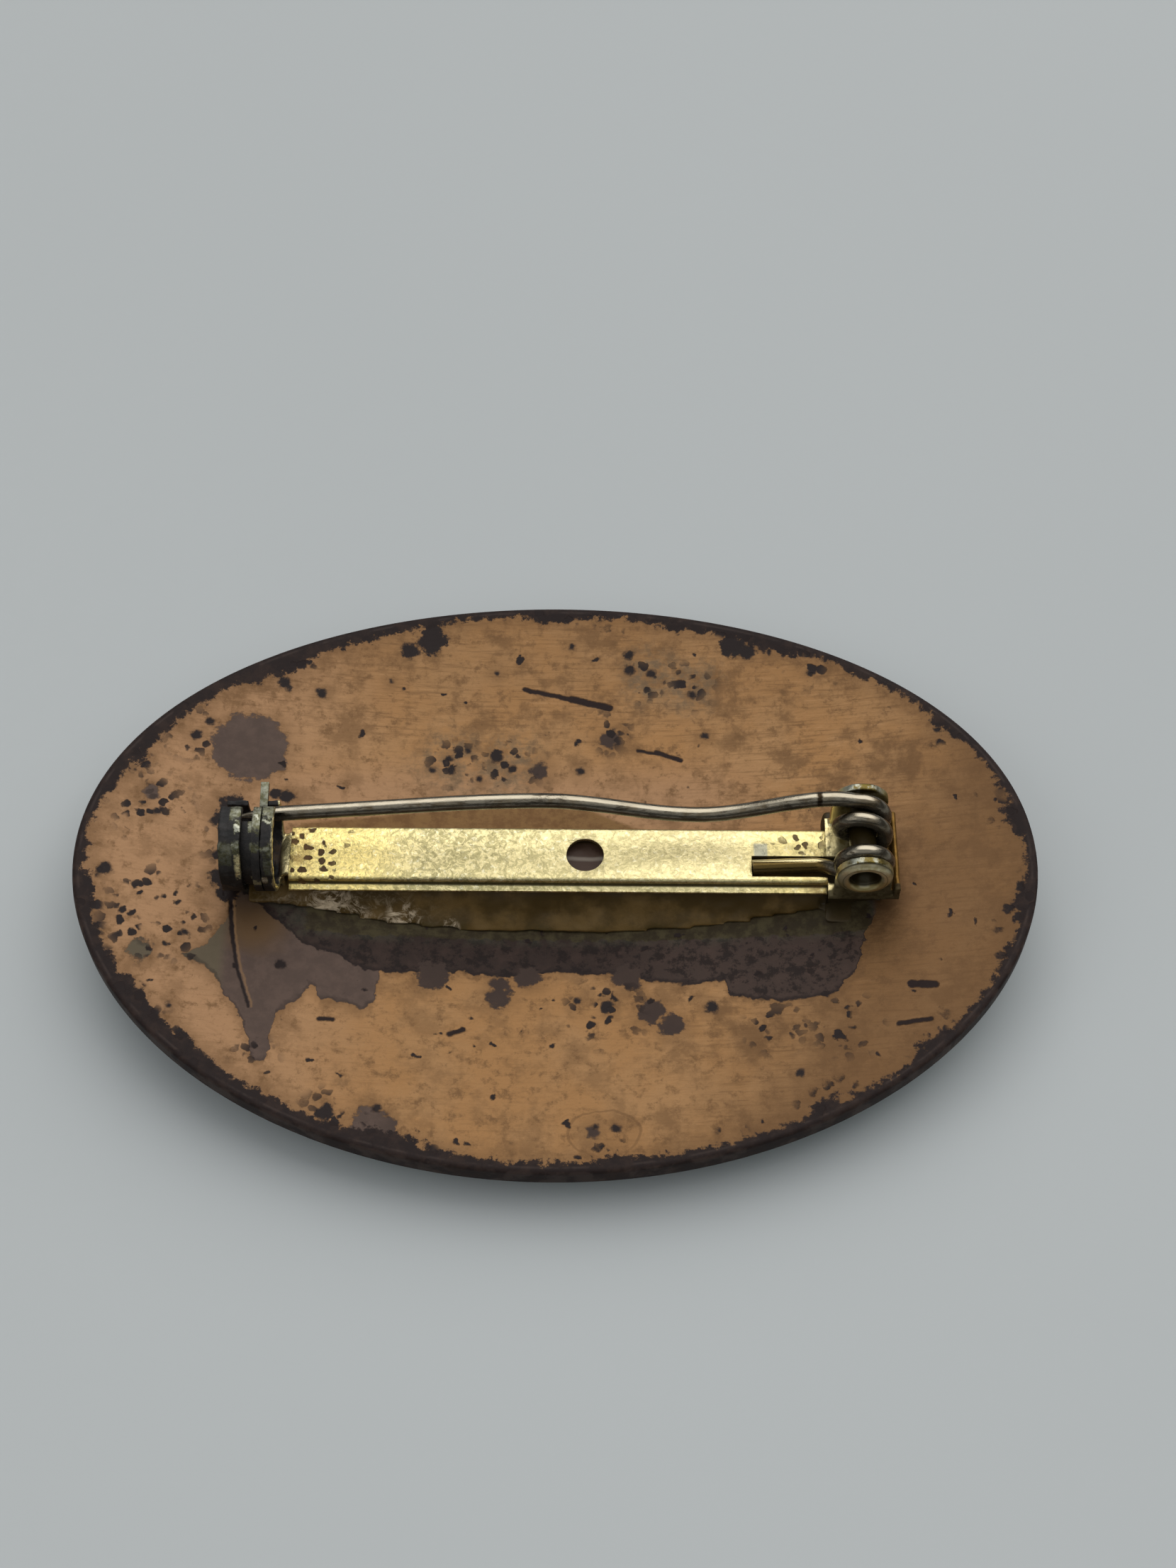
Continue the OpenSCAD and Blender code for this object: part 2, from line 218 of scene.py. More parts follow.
def lump(piece, name, size, strength):
    """Moves the surface in and out by low clouds of this size."""
    clouds = bpy.data.textures.new(name, "CLOUDS")
    clouds.noise_scale = size
    clouds.noise_depth = 2
    modify(piece, "DISPLACE", texture=clouds, texture_coords="LOCAL", strength=strength, mid_level=0.5)


def cut_out(piece, cutter):
    """Cuts the shape of the cutter out of the piece and drops the cutter."""
    modify(piece, "BOOLEAN", object=cutter, operation="DIFFERENCE", solver="EXACT")
    bpy.data.objects.remove(cutter)


def settle(piece, material, body, nodes):
    """Gives a finished piece its material, its body and the CAD nodes it stands for."""
    piece.data.materials.clear()
    piece.data.materials.append(material)
    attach(piece, body)
    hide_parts(*nodes)


def dish_patch(radius, back_z):
    """A fine square sheet bent to the dish, as a target for the ovals."""
    clear_selection()
    bpy.ops.mesh.primitive_grid_add(
        x_subdivisions=200, y_subdivisions=200, size=54 * MM, location=(0, 0, back_z + radius))
    patch = bpy.context.object
    edit(patch)
    bpy.ops.transform.translate(value=(0, 0, -radius))
    bpy.ops.object.mode_set(mode="OBJECT")
    modify(patch, "CAST", cast_type="SPHERE", factor=1, radius=0, size=radius, use_radius_as_size=False)
    return patch


def dished_oval(half_length, half_width, radius, top_z, thickness, sides):
    """A closed oval plate with a hollow top whose centre is at top_z, made ring by ring from its rim."""
    clear_selection()
    bpy.ops.mesh.primitive_circle_add(vertices=sides, radius=1, fill_type="NOTHING")
    piece = bpy.context.object
    edit(piece)
    bpy.ops.transform.resize(value=(half_length, half_width, 1))
    rings, crowding = 34, 0.92      # below 1, the crowding draws the rings towards the rim
    reach = 1
    for ring in range(1, rings):
        share = 1 - ring / rings
        wanted = share ** crowding
        bpy.ops.mesh.extrude_edges_move()
        bpy.ops.transform.resize(value=(wanted / reach, wanted / reach, 1), center_override=(0, 0, 0))
        reach = wanted
    bpy.ops.mesh.merge(type="CENTER")
    bpy.ops.object.mode_set(mode="OBJECT")
    patch = dish_patch(radius, top_z)
    modify(piece, "SHRINKWRAP", target=patch, wrap_method="PROJECT", use_project_z=True,
           use_negative_direction=True, use_positive_direction=True)
    bpy.data.objects.remove(patch)
    edit(piece)
    bpy.ops.mesh.extrude_region_move(TRANSFORM_OT_translate={"value": (0, 0, -thickness)})
    bpy.ops.mesh.select_all(action="SELECT")
    bpy.ops.mesh.normals_make_consistent(inside=False)
    return piece


def rim_edge(edge, facing):
    """True for an edge between the wall of a plate and its top (facing 1) or bottom (facing -1)."""
    if len(edge.link_faces) != 2:
        return False
    tilts = sorted((face.normal.z * facing for face in edge.link_faces))
    return tilts[1] > 0.6 and abs(tilts[0]) < 0.4


def turned(stations, centre_x, centre_z, sides=64):
    """A piece turned about a line along Y: a closed profile of (y, radius) stations, joined last to first."""
    clear_selection()
    y, radius = stations[0]
    bpy.ops.mesh.primitive_circle_add(
        vertices=sides, radius=radius, fill_type="NOTHING", location=(centre_x, y, centre_z),
        rotation=(pi / 2, 0, 0))
    piece = bpy.context.object
    edit(piece)
    for next_y, next_radius in stations[1:]:
        scale = next_radius / radius
        bpy.ops.mesh.extrude_edges_move(TRANSFORM_OT_translate={"value": (0, next_y - y, 0)})
        bpy.ops.transform.resize(value=(scale, 1, scale), center_override=(centre_x, next_y, centre_z))
        y, radius = next_y, next_radius
    select_edges(piece, lambda edge: len(edge.link_faces) == 1)
    bpy.ops.mesh.bridge_edge_loops()
    bpy.ops.object.mode_set(mode="OBJECT")
    return piece


def wire_piece(points, radii):
    """A round wire along these points, swept as a curve and then made a mesh."""
    clear_selection()
    bpy.ops.curve.primitive_nurbs_path_add()
    piece = bpy.context.object
    curve = piece.data
    curve.splines.clear()
    line = curve.splines.new("POLY")
    line.points.add(len(points) - 1)
    for point, place, radius in zip(line.points, points, radii):
        point.co = (*place, 1)
        point.radius = radius
    curve.bevel_depth = 1
    curve.bevel_resolution = 5
    curve.use_fill_caps = True
    curve.twist_mode = "MINIMUM"
    pick(piece)
    bpy.ops.object.convert(target="MESH")
    piece = bpy.context.object
    edit(piece)
    bpy.ops.mesh.remove_doubles(threshold=0.0005 * MM)
    bpy.ops.object.mode_set(mode="OBJECT")
    return piece


# Places that shapes and paints share, in millimetres

BACK_Z = 1.4
HINGE = (14.15, 5.7171)         # X and Z of the hinge's axis
CATCH = (-0.23, 5.2171)         # Y and Z of the catch's axis
BAR_X = (-12.35, 12.65)         # ends of the channel
BAR_Y = 0.125
WEB_TOP = 3.9171                # outer face of the channel
HOLE = (1.4, BAR_Y)
HOLE_RADIUS = 0.875


# Material helpers


def toned(colour, *factors):
    """The colour with its channels multiplied, all by one factor or each by its own."""
    return tuple(c * k for c, k in zip(colour, factors if len(factors) == 3 else factors * 3))


class Term:
    """A socket of a material, so that shader maths reads as an expression."""

    def __init__(self, paint, socket):
        self.paint = paint
        self.socket = socket

    def join(self, operation, first, second=None):
        values = {0: first} if second is None else {0: first, 1: second}
        return self.paint.node("ShaderNodeMath", {"operation": operation}, values)

    def __add__(self, other):
        return self.join("ADD", self, other)

    def __radd__(self, other):
        return self.join("ADD", other, self)

    def __sub__(self, other):
        return self.join("SUBTRACT", self, other)

    def __rsub__(self, other):
        return self.join("SUBTRACT", other, self)

    def __mul__(self, other):
        return self.join("MULTIPLY", self, other)

    def __rmul__(self, other):
        return self.join("MULTIPLY", other, self)

    def __truediv__(self, other):
        return self.join("DIVIDE", self, other)

    def __pow__(self, other):
        return self.join("POWER", self, other)

    def __abs__(self):
        return self.join("ABSOLUTE", self)


class Paint:
    """A material in the making, with places in millimetres."""

    def __init__(self, name):
        self.material = bpy.data.materials.new(name)
        self.material.use_nodes = True
        self.tree = self.material.node_tree
        self.shader = self.tree.nodes["Principled BSDF"]
        place = self.node("ShaderNodeTexCoord", output="Object")
        self.mm = self.vector("SCALE", place, scale=1 / MM)
        self.x, self.y, self.z = self.split(self.mm)
        self.flat = self.gather(self.x, self.y, 0)

    def node(self, kind, settings=None, inputs=None, output=0):
        """Makes a node, its settings first and then the values or links of its sockets."""
        made = self.tree.nodes.new(kind)
        for key, value in (settings or {}).items():
            if key == "stops":
                self.set_stops(made.color_ramp, value)
            elif key == "points":
                self.set_points(made.mapping, value)
            else:
                setattr(made, key, value)
        for key, value in (inputs or {}).items():
            self.feed(made.inputs[key], value)
        return Term(self, made.outputs[output])

    def set_stops(self, ramp, stops):
        while len(ramp.elements) < len(stops):
            ramp.elements.new(1)
        for element, (place, colour) in zip(ramp.elements, stops):
            element.position = place
            element.color = (*colour, 1)

    def set_points(self, mapping, points):
        line = mapping.curves[0]
        for place in points[1:-1]:
            line.points.new(*place)
        line.points[0].location = points[0]
        line.points[-1].location = points[-1]
        for point in line.points:
            point.handle_type = "VECTOR"
        mapping.update()

    def feed(self, socket, value):
        if isinstance(value, Term):
            self.tree.links.new(value.socket, socket)
        elif isinstance(value, (tuple, list)) and socket.type == "RGBA":
            socket.default_value = (*value, 1)
        else:
            socket.default_value = value

    def vector(self, operation, first, second=None, scale=None, output=0):
        values = {0: first}
        if second is not None:
            values[1] = second
        if scale is not None:
            values["Scale"] = scale
        return self.node("ShaderNodeVectorMath", {"operation": operation}, values, output)

    def split(self, vector):
        made = self.node("ShaderNodeSeparateXYZ", inputs={0: vector})
        outputs = made.socket.node.outputs
        return [Term(self, outputs[i]) for i in range(3)]

    def gather(self, x, y, z):
        return self.node("ShaderNodeCombineXYZ", inputs={0: x, 1: y, 2: z})

    def noise(self, scale, detail=3.0, roughness=0.5, at=None, distortion=0.0):
        return self.node("ShaderNodeTexNoise", inputs={
            "Vector": at or self.mm, "Scale": scale, "Detail": detail, "Roughness": roughness,
            "Distortion": distortion})

    def wobble(self, at, scale, amount, detail=2.0):
        """The places moved about by noise, by up to about half of amount."""
        drift = self.node("ShaderNodeTexNoise", inputs={
            "Vector": at, "Scale": scale, "Detail": detail}, output="Color")
        centred = self.vector("SUBTRACT", drift, (0.5, 0.5, 0.5))
        flat_drift = self.vector("MULTIPLY", centred, (amount, amount, 0))
        return self.vector("ADD", at, flat_drift)

    def cells(self, scale, at=None, output="Distance", feature="F1"):
        return self.node("ShaderNodeTexVoronoi", {"feature": feature}, {
            "Vector": at or self.mm, "Scale": scale}, output)

    def ease(self, value, low, high):
        """0 where value is low, 1 where it is high, and smooth between; low may be the larger."""
        return self.node("ShaderNodeMapRange", {"interpolation_type": "SMOOTHSTEP"}, {
            "Value": value, "From Min": low, "From Max": high})

    def window(self, value, low, high, soft):
        """1 while value lies between low and high, with edges this soft."""
        return self.ease(value, low - soft, low + soft) * self.ease(value, high + soft, high - soft)

    def most(self, *masks):
        top = masks[0]
        for mask in masks[1:]:
            top = top.join("MAXIMUM", top, mask)
        return top

    def mix(self, factor, first, second):
        """A colour between first and second."""
        return self.node("ShaderNodeMix", {"data_type": "RGBA"}, {0: factor, 6: first, 7: second}, 2)

    def layers(self, ground, *over):
        """The ground with other colours laid over it in turn, given as (mask, colour)."""
        for mask, colour in over:
            ground = self.mix(mask, ground, colour)
        return ground

    def shift(self, factor, first, second):
        """A number between first and second."""
        return self.node("ShaderNodeMix", {"data_type": "FLOAT"}, {0: factor, 2: first, 3: second})

    def dot(self, at, centre, radius, soft=0.12, fray=0.0):
        """1 inside a round spot, on places that may be wobbled; fray moves its edge in and out."""
        gap = self.vector("DISTANCE", at, (*centre, 0), output="Value") + fray
        return self.ease(gap, radius + soft, radius - soft)

    def stroke(self, at, start, end, width, soft=0.05):
        """1 along a straight stroke from start to end."""
        along = (end[0] - start[0], end[1] - start[1], 0)
        squared = along[0] ** 2 + along[1] ** 2
        from_start = self.vector("SUBTRACT", at, (*start, 0))
        share = self.vector("DOT_PRODUCT", from_start, along, output="Value") * (1 / squared)
        held = self.node("ShaderNodeClamp", inputs={0: share})
        nearest = self.vector("SCALE", self.gather(along[0], along[1], 0), scale=held)
        gap = self.vector("DISTANCE", from_start, nearest, output="Value")
        return self.ease(gap, width + soft, width - soft)

    def outline(self, x, points, low, high):
        """The height of a drawn line over x: points are (x, y), and low and high bound y."""
        first, last = points[0][0], points[-1][0]
        scaled = [((px - first) / (last - first), (py - low) / (high - low)) for px, py in points]
        share = (x - first) * (1 / (last - first))
        drawn = self.node("ShaderNodeFloatCurve", {"points": scaled}, {"Value": share})
        return drawn * (high - low) + low

    def bump(self, height, strength, distance, under=None):
        values = {"Strength": strength, "Distance": distance, "Height": height}
        if under is not None:
            values["Normal"] = under
        return self.node("ShaderNodeBump", inputs=values)

    def finish(self, **sockets):
        """Feeds the shader's sockets, named with underscores, and returns the material."""
        for key, value in sockets.items():
            self.feed(self.shader.inputs[key.replace("_", " ").title().replace("Ior", "IOR")], value)
        return self.material


# Materials

# Outer line of the dark oxide that shows beside the adhesive, as (x, y) in millimetres
OXIDE_LINE = [
    (-15.0, -1.2), (-13.8, -1.8), (-12.5, -3.0), (-11.7, -3.7), (-10.0, -4.3), (-8.7, -5.0), (-6.6, -5.0),
    (-4.2, -4.9), (-2.0, -5.1), (0.0, -4.8), (2.7, -4.9), (5.6, -5.5), (7.9, -5.4), (8.2, -6.2), (10.5, -6.6),
    (12.7, -6.4), (13.8, -5.3), (14.6, -2.8), (15.2, -1.5)]

# Upper and lower lines of the brown oxide that spreads below the catch
SPREAD_HIGH = [(-17.1, -4.9), (-16.5, -4.6), (-15.9, -4.2), (-15.5, -3.4), (-15.1, -2.4), (-14.7, -1.2), (-8.0, -1.2)]
SPREAD_LOW = [
    (-17.1, -4.9), (-16.4, -5.1), (-15.5, -5.8), (-14.8, -6.9), (-14.2, -7.7), (-13.8, -8.6), (-13.5, -9.7),
    (-13.2, -10.1), (-12.8, -10.0), (-12.6, -7.5), (-12.1, -7.1), (-11.5, -6.6), (-11.2, -5.9), (-10.9, -6.0),
    (-10.7, -6.7), (-9.7, -6.7), (-8.8, -7.1), (-8.3, -6.7), (-8.0, -5.0)]

# Far line of the brown band behind the bar: the adhesive's stain, with painted shadow of the bar and the pin
FAR_STAIN_AND_SHADOW = [(-12.8, 1.5), (-12.2, 2.7), (-8.0, 3.5), (-2.5, 4.25), (1.5, 4.1), (3.6, 3.1), (6.0, 2.2), (9.5, 1.2)]

# Brown oxide spots on the copper, as ((x, y), radius)
BROWN_SPOTS = [
    ((-14.9, 6.6), 1.75), ((-7.9, -13.3), 0.95), ((-2.5, -5.5), 0.42), ((-2.5, -6.2), 0.52), ((5.4, -7.7), 0.5),
    ((4.5, -7.0), 0.52), ((-18.9, -4.9), 0.5), ((2.5, 8.0), 0.4), ((-0.9, 6.2), 0.4), ((-5.6, -5.1), 0.7),
    ((-1.2, -5.1), 0.5), ((3.4, -5.1), 0.6), ((1.9, -13.2), 0.24), ((-19.2, 3.6), 0.3)]

# Nearly black spots on the copper, as ((x, y), radius)
BLACK_SPOTS = [
    ((-12.6, -5.0), 0.27), ((-10.0, -12.5), 0.42), ((-6.4, 13.3), 0.75), ((-7.5, 12.6), 0.42), ((8.6, 13.0), 0.6),
    ((9.4, 12.6), 0.4), ((-13.5, 10.3), 0.36), ((-11.7, 9.9), 0.27), ((3.5, 12.6), 0.27), ((3.5, 11.8), 0.25),
    ((0.6, 13.1), 0.16), ((-3.1, 11.6), 0.15), ((-8.3, 10.9), 0.12), ((-3.0, 7.0), 0.3), ((-5.3, 6.8), 0.2),
    ((-6.1, 6.1), 0.16), ((-5.2, 6.1), 0.2), ((-3.8, 5.7), 0.14), ((-4.4, 7.3), 0.18), ((-2.2, 6.3), 0.18),
    ((1.1, 6.2), 0.2), ((12.5, 11.3), 0.26), ((6.6, 10.3), 0.22), ((4.6, 11.6), 0.22), ((7.2, 8.0), 0.18),
    ((2.5, -6.7), 0.3), ((1.1, -6.3), 0.18), ((7.3, -6.8), 0.3), ((11.1, -10.4), 0.2), ((-17.5, 7.0), 0.26),
    ((-16.9, 7.8), 0.2), ((2.9, -13.0), 0.2), ((-20.9, -0.8), 0.3), ((-17.0, -3.7), 0.16), ((-17.3, -7.6), 0.16),
    ((-7.7, -12.2), 0.2), ((2.0, -12.9), 0.14), ((-18.9, 2.6), 0.2), ((-16.2, 2.4), 0.24), ((-15.9, 0.6), 0.3),
    ((-15.5, 3.4), 0.55), ((-15.6, 2.5), 0.6), ((-15.3, 1.6), 0.55), ((-15.7, -0.7), 0.5), ((-15.3, -1.3), 0.5),
    ((-13.0, 4.1), 0.34), ((-13.5, 4.2), 0.3)]

# Dark strokes on the copper, as (start, end, half width); the first three are a scratch below the catch, its dark
# line painted shade of the groove
STROKES = [
    ((-15.1, -1.8), (-14.9, -3.5), 0.10), ((-14.9, -3.5), (-14.5, -5.3), 0.09), ((-14.5, -5.3), (-13.8, -7.3), 0.07),
    ((-1.7, 10.7), (0.6, 10.2), 0.13), ((0.6, 10.2), (2.5, 9.7), 0.19), ((16.3, -6.1), (17.3, -6.2), 0.2),
    ((3.9, 7.3), (5.0, 7.1), 0.08), ((4.8, 7.2), (6.0, 6.75), 0.12), ((-4.7, -8.2), (-4.1, -7.95), 0.13),
    ((-10.6, -7.7), (-10.0, -7.7), 0.11), ((15.6, -8.1), (17.0, -8.0), 0.13)]

# Clusters of pits on the copper, as ((x, y), radius)
PIT_FIELDS = [
    ((-5.2, 6.6), 1.3), ((-2.4, 6.6), 1.3), ((4.4, 11.6), 1.2), ((6.4, 10.7), 1.1), ((13.2, -7.9), 1.5),
    ((-18.4, -3.0), 2.4), ((-19.3, 3.0), 1.6), ((2.4, -6.9), 1.7), ((-17.5, 7.0), 1.1), ((12.6, 11.6), 1.3),
    ((10.0, -7.8), 1.3), ((2.6, 8.4), 0.9), ((-9.3, -13.0), 1.5), ((-13.4, -9.6), 0.8), ((-15.4, 1.5), 1.2)]


# Tones that several paints share
STAIN_BROWN = (0.085, 0.042, 0.012)
FILM = (0.060, 0.047, 0.022)


def rim_marks(paint, half_l, half_w, frayed):
    """The distance in from the rim, and the ragged scale, its halo and its islands that follow the rim."""
    x, y = paint.x, paint.y
    reach = ((x / half_l) ** 2 + (y / half_w) ** 2) ** 0.5
    rim_gap = (1 - reach) * ((x / half_l) ** 2 * (half_l - half_w) + half_w)
    broad = paint.noise(0.32, 2.0, 0.5, at=paint.flat)
    ragged = paint.noise(1.8, 6.0, 0.75, at=paint.flat)
    thick = paint.most(paint.ease(y, 1, 8) * paint.ease(x, -5, -10), paint.ease(y, -2, -7) * paint.ease(x, 0, -8))
    band = 0.5 + paint.ease(broad, 0.46, 0.66) * 0.5 + (ragged - 0.5) * 1.9 + thick * 0.25
    inside = rim_gap - band
    scale = paint.ease(inside, 0.1, -0.08)
    halo = paint.ease(inside, 1.3, 0.0)
    island_cells = paint.cells(1.15, at=frayed)
    islands = paint.ease(island_cells, 0.34, 0.24) * paint.ease(inside, 1.0, 0.2) * paint.ease(broad, 0.47, 0.55)
    return rim_gap, scale, halo, islands


def oxide_marks(paint, fx, fy):
    """The oxide beside the adhesive, and the brown oxide that spreads below the catch."""
    x, y = paint.x, paint.y
    over_line = fy - paint.outline(fx, OXIDE_LINE, -7, 0)
    across = paint.window(x, -14.7, 14.95, 0.2) * paint.ease(y, 1.5, 0.5)
    patch = paint.ease(over_line, -0.05, 0.05) * across
    patch_edge = paint.ease(abs(over_line), 0.3, 0.05) * across
    over_low = fy - paint.outline(fx, SPREAD_LOW, -10.5, 0)
    under_high = paint.outline(fx, SPREAD_HIGH, -10.5, 0) - fy
    spread = paint.ease(over_low, -0.05, 0.05) * paint.ease(under_high, -0.05, 0.05) * paint.window(
        fx, -17.1, -8.02, 0.03)
    spread_halo = paint.ease(over_low, -0.9, 0.1) * paint.ease(under_high, -0.9, 0.1) * paint.window(
        x, -17.4, -7.6, 0.5)
    return over_line, over_low, across, patch, patch_edge, spread, spread_halo


def spot_marks(paint, coarse, frayed, fray):
    """The brown spots, the nearly black ones, and the dimmer copper round them."""
    def dots(spots, at, grow=0.0, soft=0.1):
        return paint.most(*[
            paint.dot(at, centre, radius + grow, soft, fray * min(1.5, radius * 2.2)) for centre, radius in spots])

    brown_spots = dots(BROWN_SPOTS, frayed, 0.05)
    black_spots = dots(BLACK_SPOTS, paint.wobble(paint.flat, 3.2, 0.3, detail=3.0), 0.0, 0.09)
    near_spots = paint.most(dots(BROWN_SPOTS, coarse, 0.45, 0.6), dots(BLACK_SPOTS, coarse, 0.25, 0.45))
    return brown_spots, black_spots, near_spots


def stroke_marks(paint, steady):
    """The dark strokes, and a painted highlight along the lit edge beside those below the catch."""
    strokes = paint.most(*[paint.stroke(steady, start, end, width) for start, end, width in STROKES])
    painted_glints = paint.most(*[
        paint.stroke(steady, (start[0] + 0.16, start[1]), (end[0] + 0.16, end[1]), 0.05)
        for start, end, width in STROKES[:3]])
    return strokes, painted_glints


def ring_marks(paint):
    """The stain left by a drop near the rim: its ring and its inside."""
    ring_at = paint.vector("MULTIPLY", paint.wobble(paint.flat, 1.2, 0.35), (1, 1.35, 1))
    ring_gap = paint.vector("DISTANCE", ring_at, (2.35, -17.9, 0), output="Value")
    ring = paint.ease(abs(ring_gap - 1.6), 0.12, 0.03) * 0.55
    ring_inside = paint.ease(ring_gap, 1.7, 1.4) * 0.2
    return ring, ring_inside


def pit_marks(paint, coarse, frayed, fray, islands):
    """Pits: sharp small ones in fields, larger ones among them, and a few anywhere."""
    fields = paint.most(*[paint.dot(coarse, centre, radius, 0.8) for centre, radius in PIT_FIELDS])
    pit_size = paint.noise(0.9, 1.0, 0.5, at=paint.flat)
    pit_cells = paint.cells(1.7, at=paint.wobble(paint.flat, 2.4, 0.5))
    small_pits = paint.ease(pit_cells - pit_size * 0.62, 0.07, -0.03) * paint.ease(pit_size, 0.36, 0.48)
    wide_cells = paint.cells(0.85, at=frayed)
    wide_pits = paint.ease(wide_cells + fray * 0.4, 0.27, 0.2) * paint.ease(pit_size, 0.45, 0.5)
    lone_cells = paint.cells(0.75, at=paint.wobble(paint.flat, 1.5, 0.9))
    lone_pits = paint.ease(lone_cells + fray * 0.3, 0.13, 0.07)
    return paint.most(small_pits * fields, wide_pits * fields, lone_pits * (1 - fields * 0.5), islands)


def copper_paint(plate):
    """Patchy brushed copper with scale round its rim, oxide by the adhesive, spots, strokes and pits."""
    paint = Paint("brushed_copper")
    x, y = paint.x, paint.y
    half_l, half_w = plate.half_length / MM, plate.half_width / MM
    copper, oxide, umber, soot = tuple(plate.copper), tuple(plate.oxide), tuple(plate.umber), tuple(plate.soot)

    steady = paint.wobble(paint.flat, 2.8, 0.16)
    coarse = paint.wobble(paint.flat, 0.55, 1.5)
    frayed = paint.wobble(paint.flat, 2.4, 0.6, detail=5.0)
    fx, fy, _ = paint.split(frayed)

    rim_gap, scale, halo, islands = rim_marks(paint, half_l, half_w, frayed)
    over_line, over_low, across, patch, patch_edge, spread, spread_halo = oxide_marks(paint, fx, fy)
    fray = paint.noise(1.5, 5.0, 0.7, at=paint.flat) - 0.5
    brown_spots, black_spots, near_spots = spot_marks(paint, coarse, frayed, fray)
    strokes, painted_glints = stroke_marks(paint, steady)
    ring, ring_inside = ring_marks(paint)
    pits = pit_marks(paint, coarse, frayed, fray, islands)

    dark = paint.most(scale, patch, spread, brown_spots)

    # Bare copper: patchy warmth, brushed arcs and stains, a painted sheen on the left and beyond the pin, painted
    # shade towards the hinge
    warm = paint.noise(0.22, 4.0, 0.6, at=paint.flat)
    sweep = paint.vector("DISTANCE", coarse, (-7, 30, 0), output="Value")
    arcs = paint.noise(1.0, 5.0, 0.72, at=paint.gather(sweep * 4.5, x * 0.42, 0))
    slanted = paint.node("ShaderNodeMapping", inputs={
        "Vector": paint.flat, "Rotation": (0, 0, radians(28)), "Scale": (0.35, 5.0, 1)})
    slants = paint.noise(1.2, 5.0, 0.72, at=slanted)
    fleck = paint.noise(1.3, 7.0, 0.75, at=paint.flat)
    patchy = paint.noise(0.42, 6.0, 0.7, at=paint.flat)
    grain = paint.noise(4.5, 4.0, 0.8)
    pinkish = toned(copper, 1.04, 1.08, 1.32)
    ochre = toned(copper, 0.97, 0.92, 0.84)
    pale = toned(copper, 1.35, 1.4, 1.5)
    brown = toned(copper, 0.42, 0.40, 0.40)
    # Painted sheen: the copper is pinker on the left side and in a band beyond the pin
    sheen_left_side = paint.ease(x, -6, -16)
    sheen_band = paint.ease(y, 2.0, 3.6) * paint.ease(y, 7.5, 4.6) * paint.window(x, -15, 9, 3)
    bare = paint.mix(paint.ease(warm, 0.38, 0.62), ochre, copper)
    bare = paint.layers(
        bare,
        (paint.most(sheen_left_side * 0.8, sheen_band * 0.8), pinkish),
        (paint.ease(arcs, 0.52, 0.34) * 0.18, brown),
        (paint.ease(arcs, 0.54, 0.70) * 0.15, pale))
    busy = paint.most(paint.ease(y, 5, 10), paint.ease(x, 3, 11))
    bare = paint.layers(
        bare,
        (paint.ease(slants, 0.50, 0.34) * (0.2 + busy * 0.4), brown),
        (paint.ease(slants, 0.54, 0.68) * busy * 0.4, pale),
        (paint.ease(fleck, 0.50, 0.66) * 0.8, brown),
        (paint.ease(patchy, 0.47, 0.62) * (0.45 + busy * 0.3), brown),
        (paint.ease(grain, 0.46, 0.32) * 0.25, brown),
        (paint.ease(grain, 0.56, 0.70) * 0.2, pale))
    upper = paint.ease(y, 6.5, 12) * paint.ease(x, -17, -10)
    bare = paint.mix(upper * 0.18, bare, brown)
    smudges = paint.most(*[paint.dot(coarse, centre, radius * 1.2, 1.0) for centre, radius in PIT_FIELDS[:4]])
    bare = paint.mix(smudges * paint.ease(fleck, 0.40, 0.58) * 0.6, bare, (0.11, 0.085, 0.055))
    # Painted shade: darker towards the hinge and the lower right
    bare = paint.mix(paint.ease(x - y * 0.5 + (patchy - 0.5) * 12, 9, 18) * 0.75, bare, brown)
    # Brown band behind the bar: partly adhesive stain, partly painted shadow of the bar and the pin
    far_edge = paint.outline(x, FAR_STAIN_AND_SHADOW, 0, 5)
    far_stain_and_shadow = paint.ease(y + (fleck - 0.5) * 0.5, far_edge + 0.12, far_edge - 0.12) * paint.ease(y, 0.5, 1.2)
    seep = paint.ease(over_line, -0.5, 0.1) * across
    film = paint.window(fy, -3.1, 0.0, 0.06) * paint.window(fx, -11.6, 14.7, 0.15) * paint.ease(
        fy + fx * 0.55, 6.7, 6.4)
    stains = paint.most(halo * 0.5, near_spots * 0.5, ring, ring_inside, spread_halo * 0.55, seep * 0.5)
    bare = paint.mix(stains, bare, brown)
    stain_and_shadow_tone = paint.mix(paint.ease(fleck, 0.4, 0.6), (0.10, 0.050, 0.018), (0.15, 0.082, 0.030))
    bare = paint.mix(far_stain_and_shadow * 0.9, bare, stain_and_shadow_tone)

